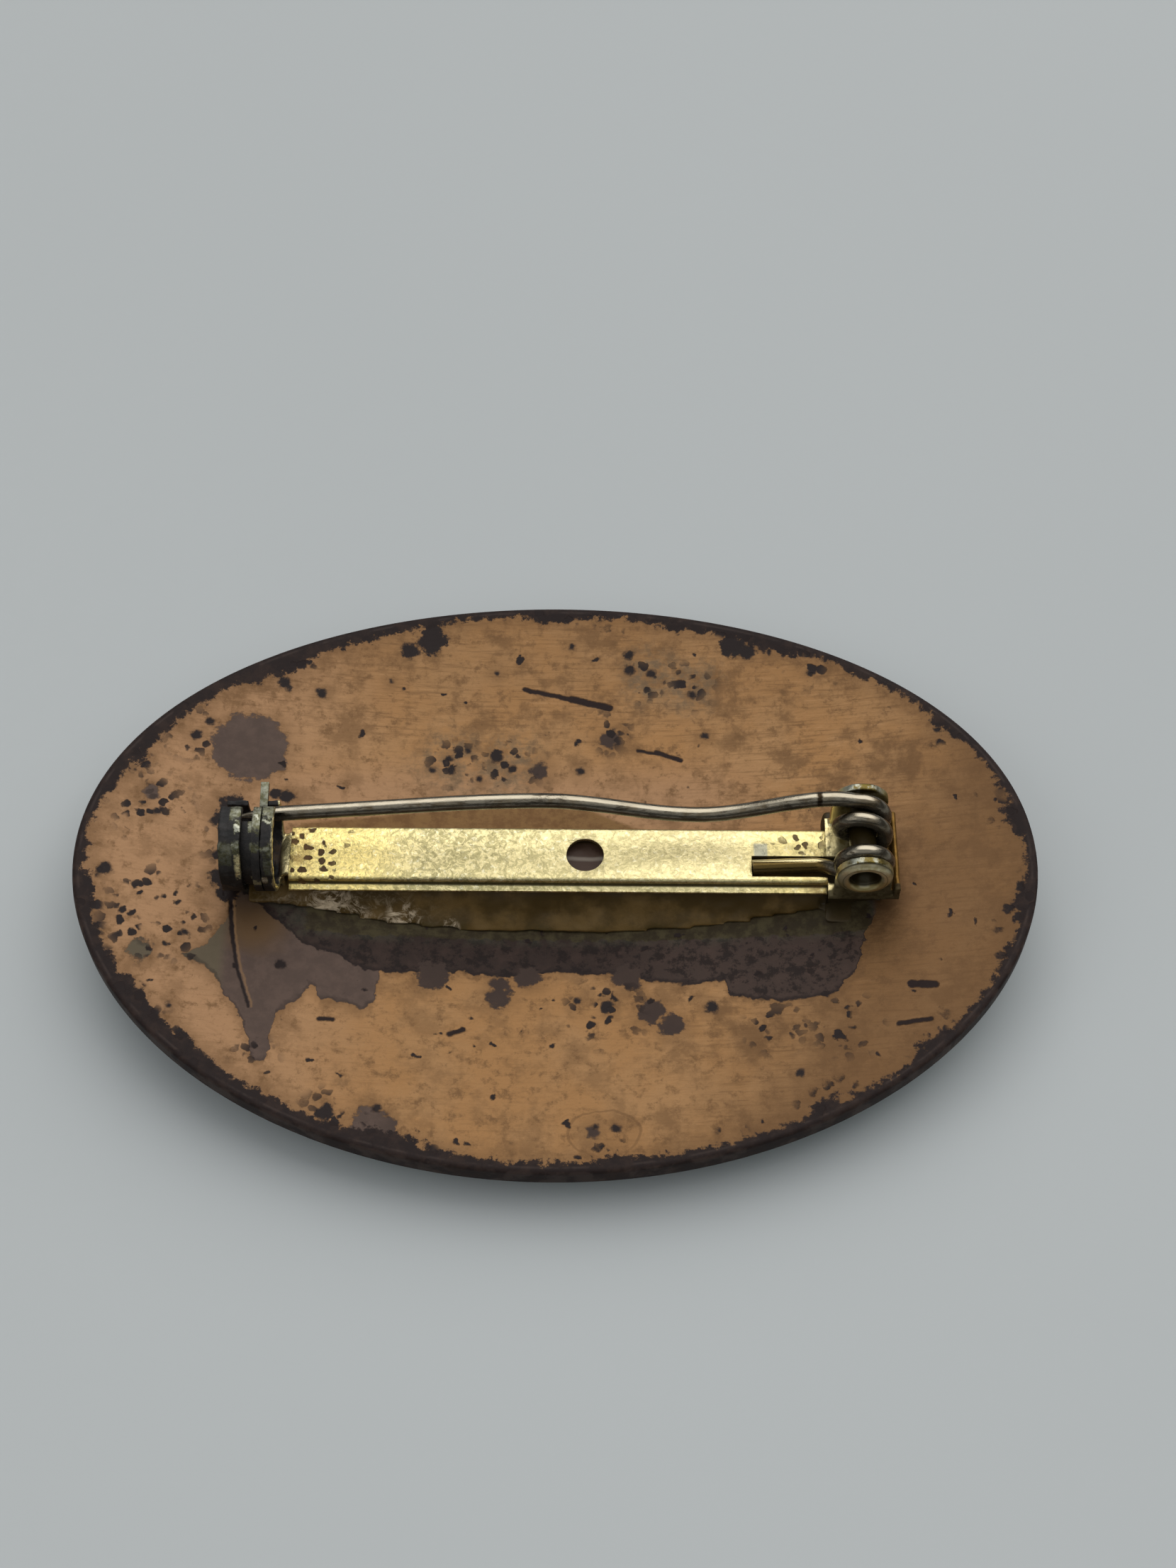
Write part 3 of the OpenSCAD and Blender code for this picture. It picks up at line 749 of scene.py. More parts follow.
    # Oxide: dark purple brown by the adhesive, browner where it spreads, nearly black at the edges
    mottle = paint.noise(1.4, 5.0, 0.65)
    lighter = toned(oxide, 1.45)
    aged = paint.mix(paint.ease(mottle, 0.42, 0.72), oxide, lighter)
    aged = paint.mix(paint.ease(x, 1, 7) * 0.25, aged, umber)
    aged = paint.mix(paint.ease(fleck, 0.52, 0.42) * 0.75, aged, toned(soot, 0.6))
    green = paint.ease(y, -3.7, -3.0) * patch * paint.ease(mottle, 0.4, 0.6) * 0.35
    aged = paint.mix(green, aged, (0.06, 0.062, 0.04))
    aged = paint.mix(patch_edge * 0.8, aged, soot)
    film_tone = paint.mix(paint.ease(mottle, 0.4, 0.65), (0.030, 0.021, 0.010), FILM)
    aged = paint.mix(film, aged, film_tone)
    umber_mix = paint.mix(paint.ease(mottle, 0.38, 0.68), toned(umber, 0.78), umber)
    umber_mix = paint.layers(
        umber_mix,
        (paint.dot(coarse, (-13.9, -2.9), 1.3, 0.8) * 0.8, (0.13, 0.072, 0.03)),
        (paint.ease(x, -14.9, -15.5) * paint.ease(y, -2, -3) * 0.55, (0.12, 0.10, 0.055)),
        (paint.ease(abs(over_low), 0.3, 0.04) * 0.45, soot),
        (paint.ease(x, -8.5, -5.5) * 0.7, oxide))
    aged = paint.mix(paint.most(brown_spots, spread * (1 - patch)), aged, umber_mix)
    aged = paint.mix(scale, aged, paint.mix(paint.ease(mottle, 0.4, 0.7), soot, oxide))

    colour = paint.mix(dark, bare, aged)
    colour = paint.mix(paint.most(pits, black_spots, strokes), colour, soot)
    # Painted highlight beside the scratch below the catch
    colour = paint.mix(painted_glints * 0.5, colour, copper)
    worn = paint.ease(paint.noise(0.9, 4.0, 0.6), 0.44, 0.6)
    wear = paint.most(paint.ease(rim_gap, 0.14, 0.02), paint.window(rim_gap, 0.24, 0.34, 0.04) * 0.6) * worn
    colour = paint.mix(wear * 0.4, colour, (0.085, 0.060, 0.050))

    bare_share = (1 - dark) * (1 - paint.most(pits, black_spots))
    metallic = bare_share * 0.5
    roughness = paint.shift(dark, 0.42 + (grain - 0.5) * 0.3 + (arcs - 0.5) * 0.2, 0.55 + (mottle - 0.5) * 0.3)
    height = arcs * 0.2 + slants * 0.3 + grain * 0.2 - dark * 0.3 - pits * 0.9 - strokes * 0.9 + mottle * dark * 0.7
    return paint.finish(
        base_color=colour, metallic=metallic, roughness=roughness, specular_ior_level=0.1,
        normal=paint.bump(height, 0.35, 0.06 * MM))


def enamel_paint(enamel):
    paint = Paint("mottled_enamel")
    field, pool = tuple(enamel.field), tuple(enamel.pool)
    half_l, half_w = enamel.half_length / MM, enamel.half_width / MM
    clouds = paint.noise(0.16, 5.0, 0.6, distortion=1.2)
    specks = paint.cells(2.2)
    hairs = paint.cells(0.35, feature="DISTANCE_TO_EDGE", at=paint.wobble(paint.flat, 0.5, 2.0))
    colour = paint.mix(paint.ease(clouds, 0.38, 0.62), pool, field)
    pale = tuple(min(1, c * 2.6 + 0.03) for c in field)
    colour = paint.mix(paint.ease(paint.noise(0.5, 6.0, 0.7), 0.55, 0.75) * 0.5, colour, pale)
    colour = paint.mix(paint.ease(specks, 0.12, 0.05) * 0.6, colour, pool)
    reach = ((paint.x / half_l) ** 2 + (paint.y / half_w) ** 2) ** 0.5
    colour = paint.mix(paint.ease(reach, 0.965, 0.995) * 0.85, colour, (0.035, 0.02, 0.015))
    height = paint.noise(0.35, 3.0, 0.5) * 0.6 - paint.ease(hairs, 0.05, 0.0) * 0.2
    roughness = 0.08 + paint.ease(paint.noise(1.2, 4.0, 0.6), 0.5, 0.8) * 0.22
    return paint.finish(
        base_color=colour, roughness=roughness, metallic=0.0, coat_weight=0.6,
        normal=paint.bump(height, 0.3, 0.2 * MM))


def adhesive_paint(adhesive):
    paint = Paint("amber_adhesive")
    amber, deep, bloom = tuple(adhesive.amber), tuple(adhesive.deep), tuple(adhesive.bloom)
    x, y = paint.x, paint.y
    clouds = paint.noise(0.45, 5.0, 0.6)
    colour = paint.mix(paint.ease(clouds, 0.40, 0.64), deep, amber)
    colour = paint.mix(paint.ease(y, -2.2, -3.0) * paint.ease(clouds, 0.55, 0.4) * 0.5, colour, (0.10, 0.095, 0.045))
    crazing = paint.noise(1.6, 7.0, 0.75, distortion=1.2)
    slanted = paint.node("ShaderNodeMapping", inputs={
        "Vector": paint.flat, "Rotation": (0, 0, radians(-32)), "Scale": (0.8, 3.2, 1)})
    streaks = paint.noise(1.1, 5.0, 0.65, at=slanted)
    milky_at = paint.wobble(paint.flat, 1.3, 0.8)
    places = paint.most(
        paint.dot(milky_at, (-10.6, -2.1), 0.95, 0.5), paint.dot(milky_at, (-9.3, -2.5), 0.7, 0.4),
        paint.dot(milky_at, (-7.1, -2.5), 0.75, 0.35), paint.dot(milky_at, (-4.9, -2.7), 0.35, 0.2))
    milky = paint.most(paint.ease(crazing, 0.47, 0.62), paint.ease(streaks, 0.50, 0.66)) * places
    haze = paint.ease(crazing, 0.45, 0.7) * paint.ease(x, -4, -9) * paint.ease(y, -1.2, -1.6)
    colour = paint.mix(haze * 0.4, colour, bloom)
    colour = paint.mix(milky * 0.9, colour, tuple(min(1, c * 1.25) for c in bloom))
    # Painted shade where the adhesive shows through the bar's hole, with a painted highlight streak across it
    hole_shade = paint.dot(paint.flat, HOLE, 1.0, 0.1)
    colour = paint.mix(hole_shade, colour, (0.06, 0.033, 0.022))
    hole_highlight = hole_shade * paint.window(y, 0.1, 0.3, 0.08)
    colour = paint.mix(hole_highlight * 0.7, colour, (0.24, 0.20, 0.16))
    height = crazing * 0.4 + clouds * 0.6 + milky * 0.5
    roughness = 0.42 + milky * 0.3 + (clouds - 0.5) * 0.3
    # Painted shade: the adhesive darkens under and beside the hinge
    shade_by_hinge = paint.ease(x, 11.8, 12.8)
    colour = paint.mix(shade_by_hinge * 0.75, colour, (0.022, 0.017, 0.008))
    return paint.finish(
        base_color=colour, roughness=roughness, metallic=0.0, specular_ior_level=0.18,
        normal=paint.bump(height, 0.4, 0.12 * MM))


def gilt_paint(finding):
    """Pale crinkled gilt of the channel, olive along its folds and pitted towards the catch."""
    paint = Paint("gilt_bar")
    x, y, z = paint.x, paint.y, paint.z
    gilt, nickel = tuple(finding.gilt), tuple(finding.nickel)
    khaki = toned(gilt, 0.42, 0.43, 0.38)
    olive = toned(gilt, 0.16, 0.145, 0.075)
    deep_olive = toned(olive, 0.35)

    worms = paint.noise(2.4, 4.0, 0.62, distortion=1.4)
    crinkle = paint.noise(4.6, 4.0, 0.65, distortion=0.8)
    beaten = paint.noise(0.6, 3.0, 0.55)
    left_half = paint.ease(x, 5, -6)
    haze = paint.ease(x + (beaten - 0.5) * 5, -8.5, -5.5) * paint.ease(x, 8.5, 4)
    yellow = toned(gilt, 1.12, 1.05, 0.75)
    ground = paint.mix(paint.most(paint.ease(x, -5.5, -9.5), paint.ease(x, 8, 11) * 0.6), gilt, yellow)
    share = paint.ease(worms, 0.46, 0.57) * (haze * left_half * 0.35 + 0.3) + haze * 0.2
    colour = paint.mix(share, ground, khaki)
    colour = paint.mix(paint.ease(crinkle, 0.5, 0.38) * (left_half * 0.25 + 0.3), colour, khaki)
    colour = paint.mix(paint.ease(crinkle, 0.56, 0.68) * 0.5, colour, (1.0, 0.93, 0.66))

    # Folds: olive on the far one, painted shade on the near flange and a bright broken lip on the near side
    far_fold = paint.ease(y, 1.50, 1.62)
    shaded_near_flange = paint.ease(y, -1.20, -1.24) * paint.window(z, 3.49, 3.68, 0.03)
    along = paint.noise(1.3, 4.0, 0.7, at=paint.gather(x, 0, 0))
    lip_breaks = paint.ease(along, 0.48, 0.62) * paint.ease(z, 3.47, 3.42)
    colour = paint.mix(paint.most(far_fold * 0.85, lip_breaks * 0.5), colour, olive)
    colour = paint.mix(shaded_near_flange * 0.95, colour, deep_olive)

    pit_cells = paint.cells(1.9, at=paint.wobble(paint.mm, 2.2, 0.5))
    pit_size = paint.noise(0.8, 1.0)
    pitted = paint.most(
        paint.ease(x, -8.8, -10.6), paint.dot(paint.flat, (11.6, 1.0), 0.9, 0.5) * 0.9,
        paint.dot(paint.flat, (10.6, 0.3), 0.8, 0.4) * 0.7)
    pits = paint.ease(pit_cells - pit_size * 0.55, 0.08, -0.02) * pitted
    stain_cloud = paint.noise(1.1, 5.0, 0.65)
    ends = paint.most(paint.ease(x, 11.2, 12.6), paint.ease(x, -10.8, -12.2))
    end_stain = ends * paint.ease(stain_cloud, 0.44, 0.58)
    colour = paint.mix(pits, colour, STAIN_BROWN)
    colour = paint.mix(end_stain * 0.65, colour, toned(STAIN_BROWN, 2.4))
    worn = paint.window(x, 9.27, 9.9, 0.06) * paint.window(y, 0.04, 0.8, 0.07)
    colour = paint.mix(worn * 0.8, colour, nickel)

    shade = paint.most(pits, shaded_near_flange, far_fold * 0.6)
    metallic = 1 - shade * 0.6
    roughness = 0.26 + beaten * 0.1 + pits * 0.3 + far_fold * 0.12 + (worms - 0.5) * 0.2
    height = worms * 0.8 * (left_half * 0.6 + 0.4) + crinkle * 0.5 + beaten * 0.5 - pits * 0.8
    return paint.finish(
        base_color=colour, metallic=metallic, roughness=roughness,
        normal=paint.bump(height, 0.6, 0.1 * MM))


def catch_paint(name, finding, wear_and_highlight_places, gilt_highlight_places):
    """Blackened plating of the catch, bright in windows of (low x, high x, low angle, high angle, share): partly worn
    plating, partly painted highlights.
    """
    paint = Paint(name)
    x, y, z = paint.x, paint.y, paint.z
    tarnish, nickel, gilt = tuple(finding.tarnish), tuple(finding.nickel), tuple(finding.gilt)
    angle = paint.node("ShaderNodeMath", {"operation": "ARCTAN2"}, {0: z - CATCH[1], 1: y - CATCH[0]}) * (180 / pi)
    blotch = paint.noise(1.5, 5.0, 0.68)
    fine = paint.noise(4.0, 4.0, 0.7)
    shaken_x = x + (blotch - 0.5) * 0.3 + (fine - 0.5) * 0.2
    shaken_angle = angle + (blotch - 0.5) * 40 + (fine - 0.5) * 16

    def places(windows):
        return paint.most(*[
            paint.window(shaken_x, low_x, high_x, 0.06) * paint.window(shaken_angle, low, high, 5) * share
            for low_x, high_x, low, high, share in windows])

    bright = paint.most(places(wear_and_highlight_places), paint.ease(blotch, 0.62, 0.74) * 0.3)
    grey = toned(nickel, 0.42, 0.42, 0.38)
    khaki = toned(nickel, 0.26, 0.25, 0.16)
    crust = paint.mix(paint.ease(blotch, 0.42, 0.62), tarnish, toned(tarnish, 2.6))
    plating = paint.mix(paint.ease(fine, 0.42, 0.58), khaki, grey)
    colour = paint.mix(paint.ease(bright, 0.05, 0.75), crust, plating)
    colour = paint.mix(paint.ease(bright * (fine * 0.6 + 0.7), 0.5, 0.9), colour, nickel)
    # Gilt windows: the bar's gilt, painted as highlights
    gilt_highlights = places(gilt_highlight_places)
    colour = paint.mix(gilt_highlights, colour, gilt)
    rust = paint.ease(z, 4.6, 3.4) * paint.ease(blotch, 0.5, 0.62) * 0.5
    colour = paint.mix(rust, colour, toned(STAIN_BROWN, 0.8))
    shine = paint.most(bright, gilt_highlights)
    return paint.finish(
        base_color=colour, metallic=paint.ease(shine, 0, 0.5) * 0.9, specular_ior_level=0.3,
        roughness=0.52 - shine * 0.27 + (fine - 0.5) * 0.15,
        normal=paint.bump(blotch * 0.8 + fine * 0.4, 0.45, 0.09 * MM))


def hinge_paint(finding):
    """Tarnished gilt of the hinge: grey on top, olive on the ears, amber on the lip, dark brown below, partly
    adhesive film and partly painted shade.
    """
    paint = Paint("stained_hinge")
    x, y, z = paint.x, paint.y, paint.z
    gilt, nickel = tuple(finding.gilt), tuple(finding.nickel)
    olive = toned(gilt, 0.16, 0.14, 0.075)
    amber = toned(gilt, 0.26, 0.165, 0.07)
    blotch = paint.noise(1.3, 5.0, 0.68)
    fine = paint.noise(4.0, 4.0, 0.65)
    colour = paint.mix(paint.ease(blotch, 0.40, 0.6) * 0.7, olive, toned(gilt, 0.35))
    lip = paint.ease(x, 15.35, 15.6)
    colour = paint.mix(lip, colour, paint.mix(paint.ease(blotch, 0.42, 0.62), toned(amber, 0.6), amber))
    top = paint.ease(z, 6.5, 6.9)
    colour = paint.mix(top * (1 - lip), colour, paint.mix(paint.ease(blotch, 0.44, 0.58), olive, nickel))
    edge = paint.ease(x, 13.35, 12.95) * paint.ease(z, 3.5, 3.7) * paint.ease(blotch, 0.66, 0.54)
    colour = paint.mix(edge, colour, gilt)
    # Dark brown on the low parts, by the adhesive and under the eyelet's ring: adhesive film and painted shade
    low = paint.most(paint.ease(z, 3.85, 3.5), paint.ease(y, -1.62, -1.7) * paint.ease(z, 5.5, 4.9))
    colour = paint.mix(low * 0.9, colour, paint.mix(paint.ease(fine, 0.4, 0.6), (0.030, 0.020, 0.008), FILM))
    shine = paint.most(top, edge, lip * 0.5) * (1 - low)
    roughness = 0.45 - shine * 0.15 + low * 0.25 + (fine - 0.5) * 0.25
    return paint.finish(
        base_color=colour, metallic=(0.4 + shine * 0.55) * (1 - low), roughness=roughness,
        specular_ior_level=0.15, normal=paint.bump(blotch * 0.7 + fine * 0.4, 0.4, 0.07 * MM))


def eyelet_paint(finding):
    paint = Paint("worn_eyelet")
    light = tuple(finding.eyelet)
    dark = toned(light, 0.10, 0.075, 0.035)
    warm = toned(light, 0.5, 0.42, 0.2)
    y, z = paint.y, paint.z
    out = paint.vector("DISTANCE", paint.gather(paint.x, 0, z), (HINGE[0], 0, HINGE[1]), output="Value")
    blotch = paint.noise(1.6, 5.0, 0.65)
    colour = paint.mix(paint.ease(blotch, 0.46, 0.62) * 0.5, light, warm)
    # Painted shade: warmer and darker towards the bottom
    colour = paint.mix(paint.ease(z, 6.3, 5.0) * 0.7, colour, warm)
    # Painted shade in the rivet's hollow, darker at the top, with a painted highlight at its bottom
    hollow = paint.ease(out, 0.79, 0.70)
    inner = paint.mix(paint.ease(z, 5.4, 5.0), toned(dark, 0.2), warm)
    catchlight = paint.window(paint.x, 13.95, 14.4, 0.08) * paint.ease(z, 5.3, 5.15)
    colour = paint.mix(hollow, colour, paint.mix(catchlight, inner, light))
    # Painted shade on the barrel between the coil's turns
    barrel = paint.window(y, -2.1, 1.9, 0.1)
    colour = paint.mix(barrel * 0.95, colour, toned(dark, 0.3))
    # Painted shade in the groove between the ring and the flange
    groove_shade = paint.window(out, 0.99, 1.03, 0.02) * 0.6
    colour = paint.mix(groove_shade, colour, dark)
    return paint.finish(
        base_color=colour, specular_ior_level=0.15, metallic=0.78 - barrel * 0.6, roughness=0.24 + blotch * 0.15,
        normal=paint.bump(blotch, 0.35, 0.06 * MM))


def wire_paint(finding):
    """Drawn wire, streaked and patched brown, with a painted highlight along its top, painted shade below, and a
    painted reflection of the gilt on the tail in the slot.
    """
    paint = Paint("drawn_wire")
    base = tuple(finding.wire)
    dark = toned(base, 0.13, 0.10, 0.075)
    warm = toned(base, 0.52, 0.42, 0.28)
    facing = paint.node("ShaderNodeAttribute", {"attribute_name": "facing"}, output="Fac")
    along = paint.node("ShaderNodeMapping", inputs={"Vector": paint.mm, "Scale": (0.8, 3.2, 3.2)})
    streaks = paint.noise(1.3, 5.0, 0.7, at=along)
    blotch = paint.noise(1.1, 4.0, 0.6)
    shown = paint.mix(paint.ease(streaks, 0.52, 0.36) * 0.75, base, dark)
    shown = paint.mix(paint.ease(blotch, 0.48, 0.64) * 0.55, shown, warm)
    # Painted shade on the underside and a painted highlight along the top, from how far each point faces up
    under = paint.ease(facing, 0.66, 0.2)
    shown = paint.mix(under * 0.5, shown, dark)
    shown = paint.mix(paint.window(facing, 0.93, 1.1, 0.03) * 0.8, shown, tuple(min(1, c * 2.2) for c in base))
    nick = paint.window(paint.x + (streaks - 0.5) * 0.3, 12.0, 12.25, 0.06)
    patches = paint.window(paint.x + (streaks - 0.5) * 1.2, -1.2, 0.6, 0.2) * paint.ease(streaks, 0.45, 0.6)
    shown = paint.mix(paint.most(nick, patches * 0.8), shown, dark)
    # Painted reflection of the gilt bar on the tail where it lies in the slot
    slot_reflection = paint.window(paint.x, 9.0, 12.9, 0.3) * paint.window(paint.y, -1.0, 0.2, 0.1)
    slot_reflection = slot_reflection * paint.ease(paint.z, 4.5, 4.2)
    crest = paint.window(paint.y, -0.32, -0.1, 0.05)
    shown = paint.mix(slot_reflection, shown, paint.mix(crest, (0.10, 0.065, 0.02), (0.72, 0.60, 0.32)))
    roughness = 0.15 + paint.ease(streaks, 0.55, 0.35) * 0.2 + (blotch - 0.5) * 0.12
    return paint.finish(
        base_color=shown, metallic=1 - under * 0.4, roughness=roughness,
        normal=paint.bump(streaks * 0.7 + blotch * 0.5, 0.35, 0.06 * MM))


def floor_paint(stage):
    paint = Paint("pale_table")
    tone = tuple(stage.floor)
    clouds = paint.noise(0.004, 3.0, 0.5)
    fibre = paint.noise(0.6, 5.0, 0.6)
    deeper = toned(tone, 0.93)
    colour = paint.mix(paint.ease(clouds + (fibre - 0.5) * 0.1, 0.35, 0.65), deeper, tone)
    return paint.finish(
        base_color=colour, metallic=0.0, roughness=0.7 + (fibre - 0.5) * 0.1,
        normal=paint.bump(fibre, 0.06, 0.05 * MM))


# Routes of the wire, in millimetres


def ease_share(t):
    return t * t * (3 - 2 * t)


COIL_RADIUS = 1.05
COIL_PITCH = 0.98
STEM_Y = 1.42
HELD_TURN_Y = -1.26
REST_X = -12.72
REST_Y = 1.1038
REST_Z = 5.8109


def coil_point(angle, y):
    """Point of the coil about the hinge's axis, at an angle from +X towards +Z."""
    return (HINGE[0] + COIL_RADIUS * cos(radians(angle)), y, HINGE[1] + COIL_RADIUS * sin(radians(angle)))


# Operators, one for each piece or group of like pieces


class BADGE_OT_plate(Operator):
    """Makes the dished copper plate with its worn rim"""
    bl_idname = "badge.plate"
    bl_label = "Copper plate"

    def execute(self, context):
        plate = context.scene.badge_plate
        piece = dished_oval(plate.half_length, plate.half_width, plate.dish_radius, BACK_Z * MM, plate.thickness,
                            context.scene.badge_stage.flatness)
        select_edges(piece, lambda edge: rim_edge(edge, 1))
        bpy.ops.mesh.bevel(offset=plate.edge, segments=3, affect="EDGES")
        piece = close(piece, "copper_dish", 50)
        settle(piece, copper_paint(plate), "base", ["copper_plate"])
        return {"FINISHED"}


class BADGE_OT_enamel(Operator):
    """Makes the enamel layer over the domed front"""
    bl_idname = "badge.enamel"
    bl_label = "Enamel front"

    def execute(self, context):
        enamel = context.scene.badge_enamel
        plate = context.scene.badge_plate
        top_z = BACK_Z * MM - plate.thickness
        piece = dished_oval(enamel.half_length, enamel.half_width, plate.dish_radius + plate.thickness, top_z,
                            enamel.thickness, context.scene.badge_stage.flatness)
        select_edges(piece, lambda edge: rim_edge(edge, -1))
        bpy.ops.mesh.bevel(offset=0.3 * MM, segments=4, affect="EDGES")
        piece = close(piece, "enamel_dome", 50)
        settle(piece, enamel_paint(enamel), "base", ["enamel_face"])
        return {"FINISHED"}


class BADGE_OT_adhesive(Operator):
    """Makes the set adhesive that the bar is bedded in"""
    bl_idname = "badge.adhesive"
    bl_label = "Adhesive"

    def execute(self, context):
        adhesive = context.scene.badge_adhesive
        piece = cad_copy("adhesive_bed")
        melt(piece, adhesive.voxel, 7)
        lump(piece, "adhesive_lumps", 1.6 * MM, 0.28 * MM)
        hinge_x, near_y, bed_z, flattening = 12.3, -1.5, 2.4, 0.1
        edit(piece)
        bpy.ops.mesh.select_all(action="DESELECT")
        mesh = bmesh.from_edit_mesh(piece.data)
        for vertex in mesh.verts:
            vertex.select_set(vertex.co.x > hinge_x * MM and vertex.co.y < near_y * MM)
        mesh.select_flush(True)
        bmesh.update_edit_mesh(piece.data)
        bpy.ops.transform.resize(value=(1, 1, flattening), center_override=(0, 0, bed_z * MM))
        bpy.ops.object.mode_set(mode="OBJECT")
        piece = close(piece, "adhesive_mass", 80)
        settle(piece, adhesive_paint(adhesive), "base", ["adhesive_bed"])
        return {"FINISHED"}


def arc(centre, radius, start, end, steps=6):
    """Points of an arc in the Y-Z plane, with angles in degrees from +Y towards +Z."""
    turns = [radians(start + (end - start) * i / steps) for i in range(steps + 1)]
    return [(centre[0] + radius * cos(turn), centre[1] + radius * sin(turn)) for turn in turns]


class BADGE_OT_bar(Operator):
    """Makes the channel of the bar, with its hole, its slot and the lip along its near side"""
    bl_idname = "badge.bar"
    bl_label = "Channel bar"

    def execute(self, context):
        finding = context.scene.badge_finding
        strip, fold, curl = finding.strip / MM, 0.2, 0.14
        low_x, high_x, top, foot = *BAR_X, WEB_TOP, 3.1371
        far, near, curl_z = 1.62, -1.25, 3.6
        lip = [(-1.54, 3.40), (-1.57, 3.33)]
        profile = [(far, foot), *arc((far - fold, top - fold), fold, 0, 90),
                   *arc((near + fold, top - fold), fold, 90, 180), *arc((near - curl, curl_z), curl, 0, -70), *lip]
        clear_selection()
        bpy.ops.mesh.primitive_grid_add(x_subdivisions=100, y_subdivisions=1, size=1)
        piece = context.object
        edit(piece)
        bpy.ops.mesh.select_all(action="DESELECT")
        select_edges(piece, lambda edge: all(vertex.co.y < 0 for vertex in edge.verts))
        bpy.ops.mesh.select_mode(type="VERT")
        bpy.ops.mesh.delete(type="VERT")
        bpy.ops.mesh.select_all(action="SELECT")
        bpy.ops.transform.resize(value=((high_x - low_x) * MM, 1, 1), center_override=(0, 0, 0))
        bpy.ops.transform.translate(value=((high_x + low_x) / 2 * MM, far * MM - 0.5, foot * MM))
        for (y0, z0), (y1, z1) in zip(profile, profile[1:]):
            bpy.ops.mesh.extrude_edges_move(
                TRANSFORM_OT_translate={"value": (0, (y1 - y0) * MM, (z1 - z0) * MM)})
        bpy.ops.mesh.select_all(action="SELECT")
        bpy.ops.mesh.normals_make_consistent(inside=False)
        mesh = bmesh.from_edit_mesh(piece.data)
        mesh.normal_update()
        web = max(mesh.faces, key=lambda face: face.calc_center_median().z)
        if web.normal.z < 0:
            bpy.ops.mesh.flip_normals()
        bpy.ops.object.mode_set(mode="OBJECT")
        modify(piece, "SOLIDIFY", thickness=strip * MM, offset=-1, use_even_offset=True, use_rim=True)

        clear_selection()
        bpy.ops.mesh.primitive_cylinder_add(
            vertices=72, radius=HOLE_RADIUS * MM, depth=2 * MM, location=(HOLE[0] * MM, HOLE[1] * MM, top * MM))
        cut_out(piece, context.object)
        clear_selection()
        slot_x0, slot_y0, slot_y1, cut_length = 9.15, -0.97, 0.14, 4
        bpy.ops.mesh.primitive_cube_add(
            size=1, location=((slot_x0 + cut_length / 2) * MM, (slot_y0 + slot_y1) / 2 * MM, top * MM),
            scale=(cut_length * MM, (slot_y1 - slot_y0) * MM, 1 * MM))
        cut_out(piece, context.object)
        edit(piece)
        bpy.ops.mesh.remove_doubles(threshold=0.001 * MM)
        bpy.ops.object.mode_set(mode="OBJECT")
        wear_edges(piece, 0.04 * MM, angle=50)
        piece = close(piece, "channel_bar", 40)
        settle(piece, gilt_paint(finding), "base", ["pin_bar"])
        return {"FINISHED"}


def bar_end(cut_x, keep_high, voxel, rounds):
    """One end of the bar, cut from a melted copy of the CAD bar."""
    piece = cad_copy("pin_bar")
    melt(piece, voxel, rounds)
    edit(piece)
    bpy.ops.mesh.bisect(plane_co=(cut_x * MM, 0, 0), plane_no=(1, 0, 0), use_fill=True,
                        clear_inner=keep_high, clear_outer=not keep_high, threshold=0.0001 * MM)
    bpy.ops.object.mode_set(mode="OBJECT")
    return piece


class BADGE_OT_catch(Operator):
    """Makes the catch: two rolled ears on a neck, blackened and lumpy"""
    bl_idname = "badge.catch"
    bl_label = "Catch ears"

    def execute(self, context):
        finding = context.scene.badge_finding
        piece = bar_end(BAR_X[0], False, 0.05 * MM, 5)
        lump(piece, "catch_lumps", 0.5 * MM, 0.11 * MM)
        # Windows of painted highlights and worn plating, and of gilt painted as highlights
        wear_and_highlight_places = [
            (-14.75, -14.25, 50, 90, 0.62), (-14.5, -14.22, 94, 104, 1.0), (-15.2, -14.55, 122, 150, 0.42),
            (-14.6, -14.2, 118, 130, 0.6), (-13.3, -12.78, 52, 84, 0.62), (-13.25, -12.8, 88, 94, 1.0),
            (-13.4, -12.8, 122, 136, 0.6), (-13.15, -12.8, 138, 160, 0.42), (-13.35, -13.0, 164, 180, 1.0)]
        gilt_highlight_places = [
            (-14.45, -14.2, 134, 141, 1.0), (-14.45, -14.2, 145, 152, 1.0), (-14.45, -14.2, 156, 162, 1.0),
            (-12.76, -12.2, -200, 200, 0.9)]
        piece = close(piece, "catch_ears", 60)
        blackened = catch_paint("blackened_catch", finding, wear_and_highlight_places, gilt_highlight_places)
        settle(piece, blackened, "base", ["pin_bar"])
        return {"FINISHED"}


class BADGE_OT_hinge(Operator):
    """Makes the hinge: two ears, the floor between them and the lip behind the coil"""
    bl_idname = "badge.hinge"
    bl_label = "Hinge ears"

    def execute(self, context):
        finding = context.scene.badge_finding
        piece = bar_end(BAR_X[1], True, 0.06 * MM, 4)
        lump(piece, "hinge_lumps", 0.8 * MM, 0.06 * MM)
        piece = close(piece, "hinge_ears", 60)
        settle(piece, hinge_paint(finding), "base", ["pin_bar"])
        return {"FINISHED"}


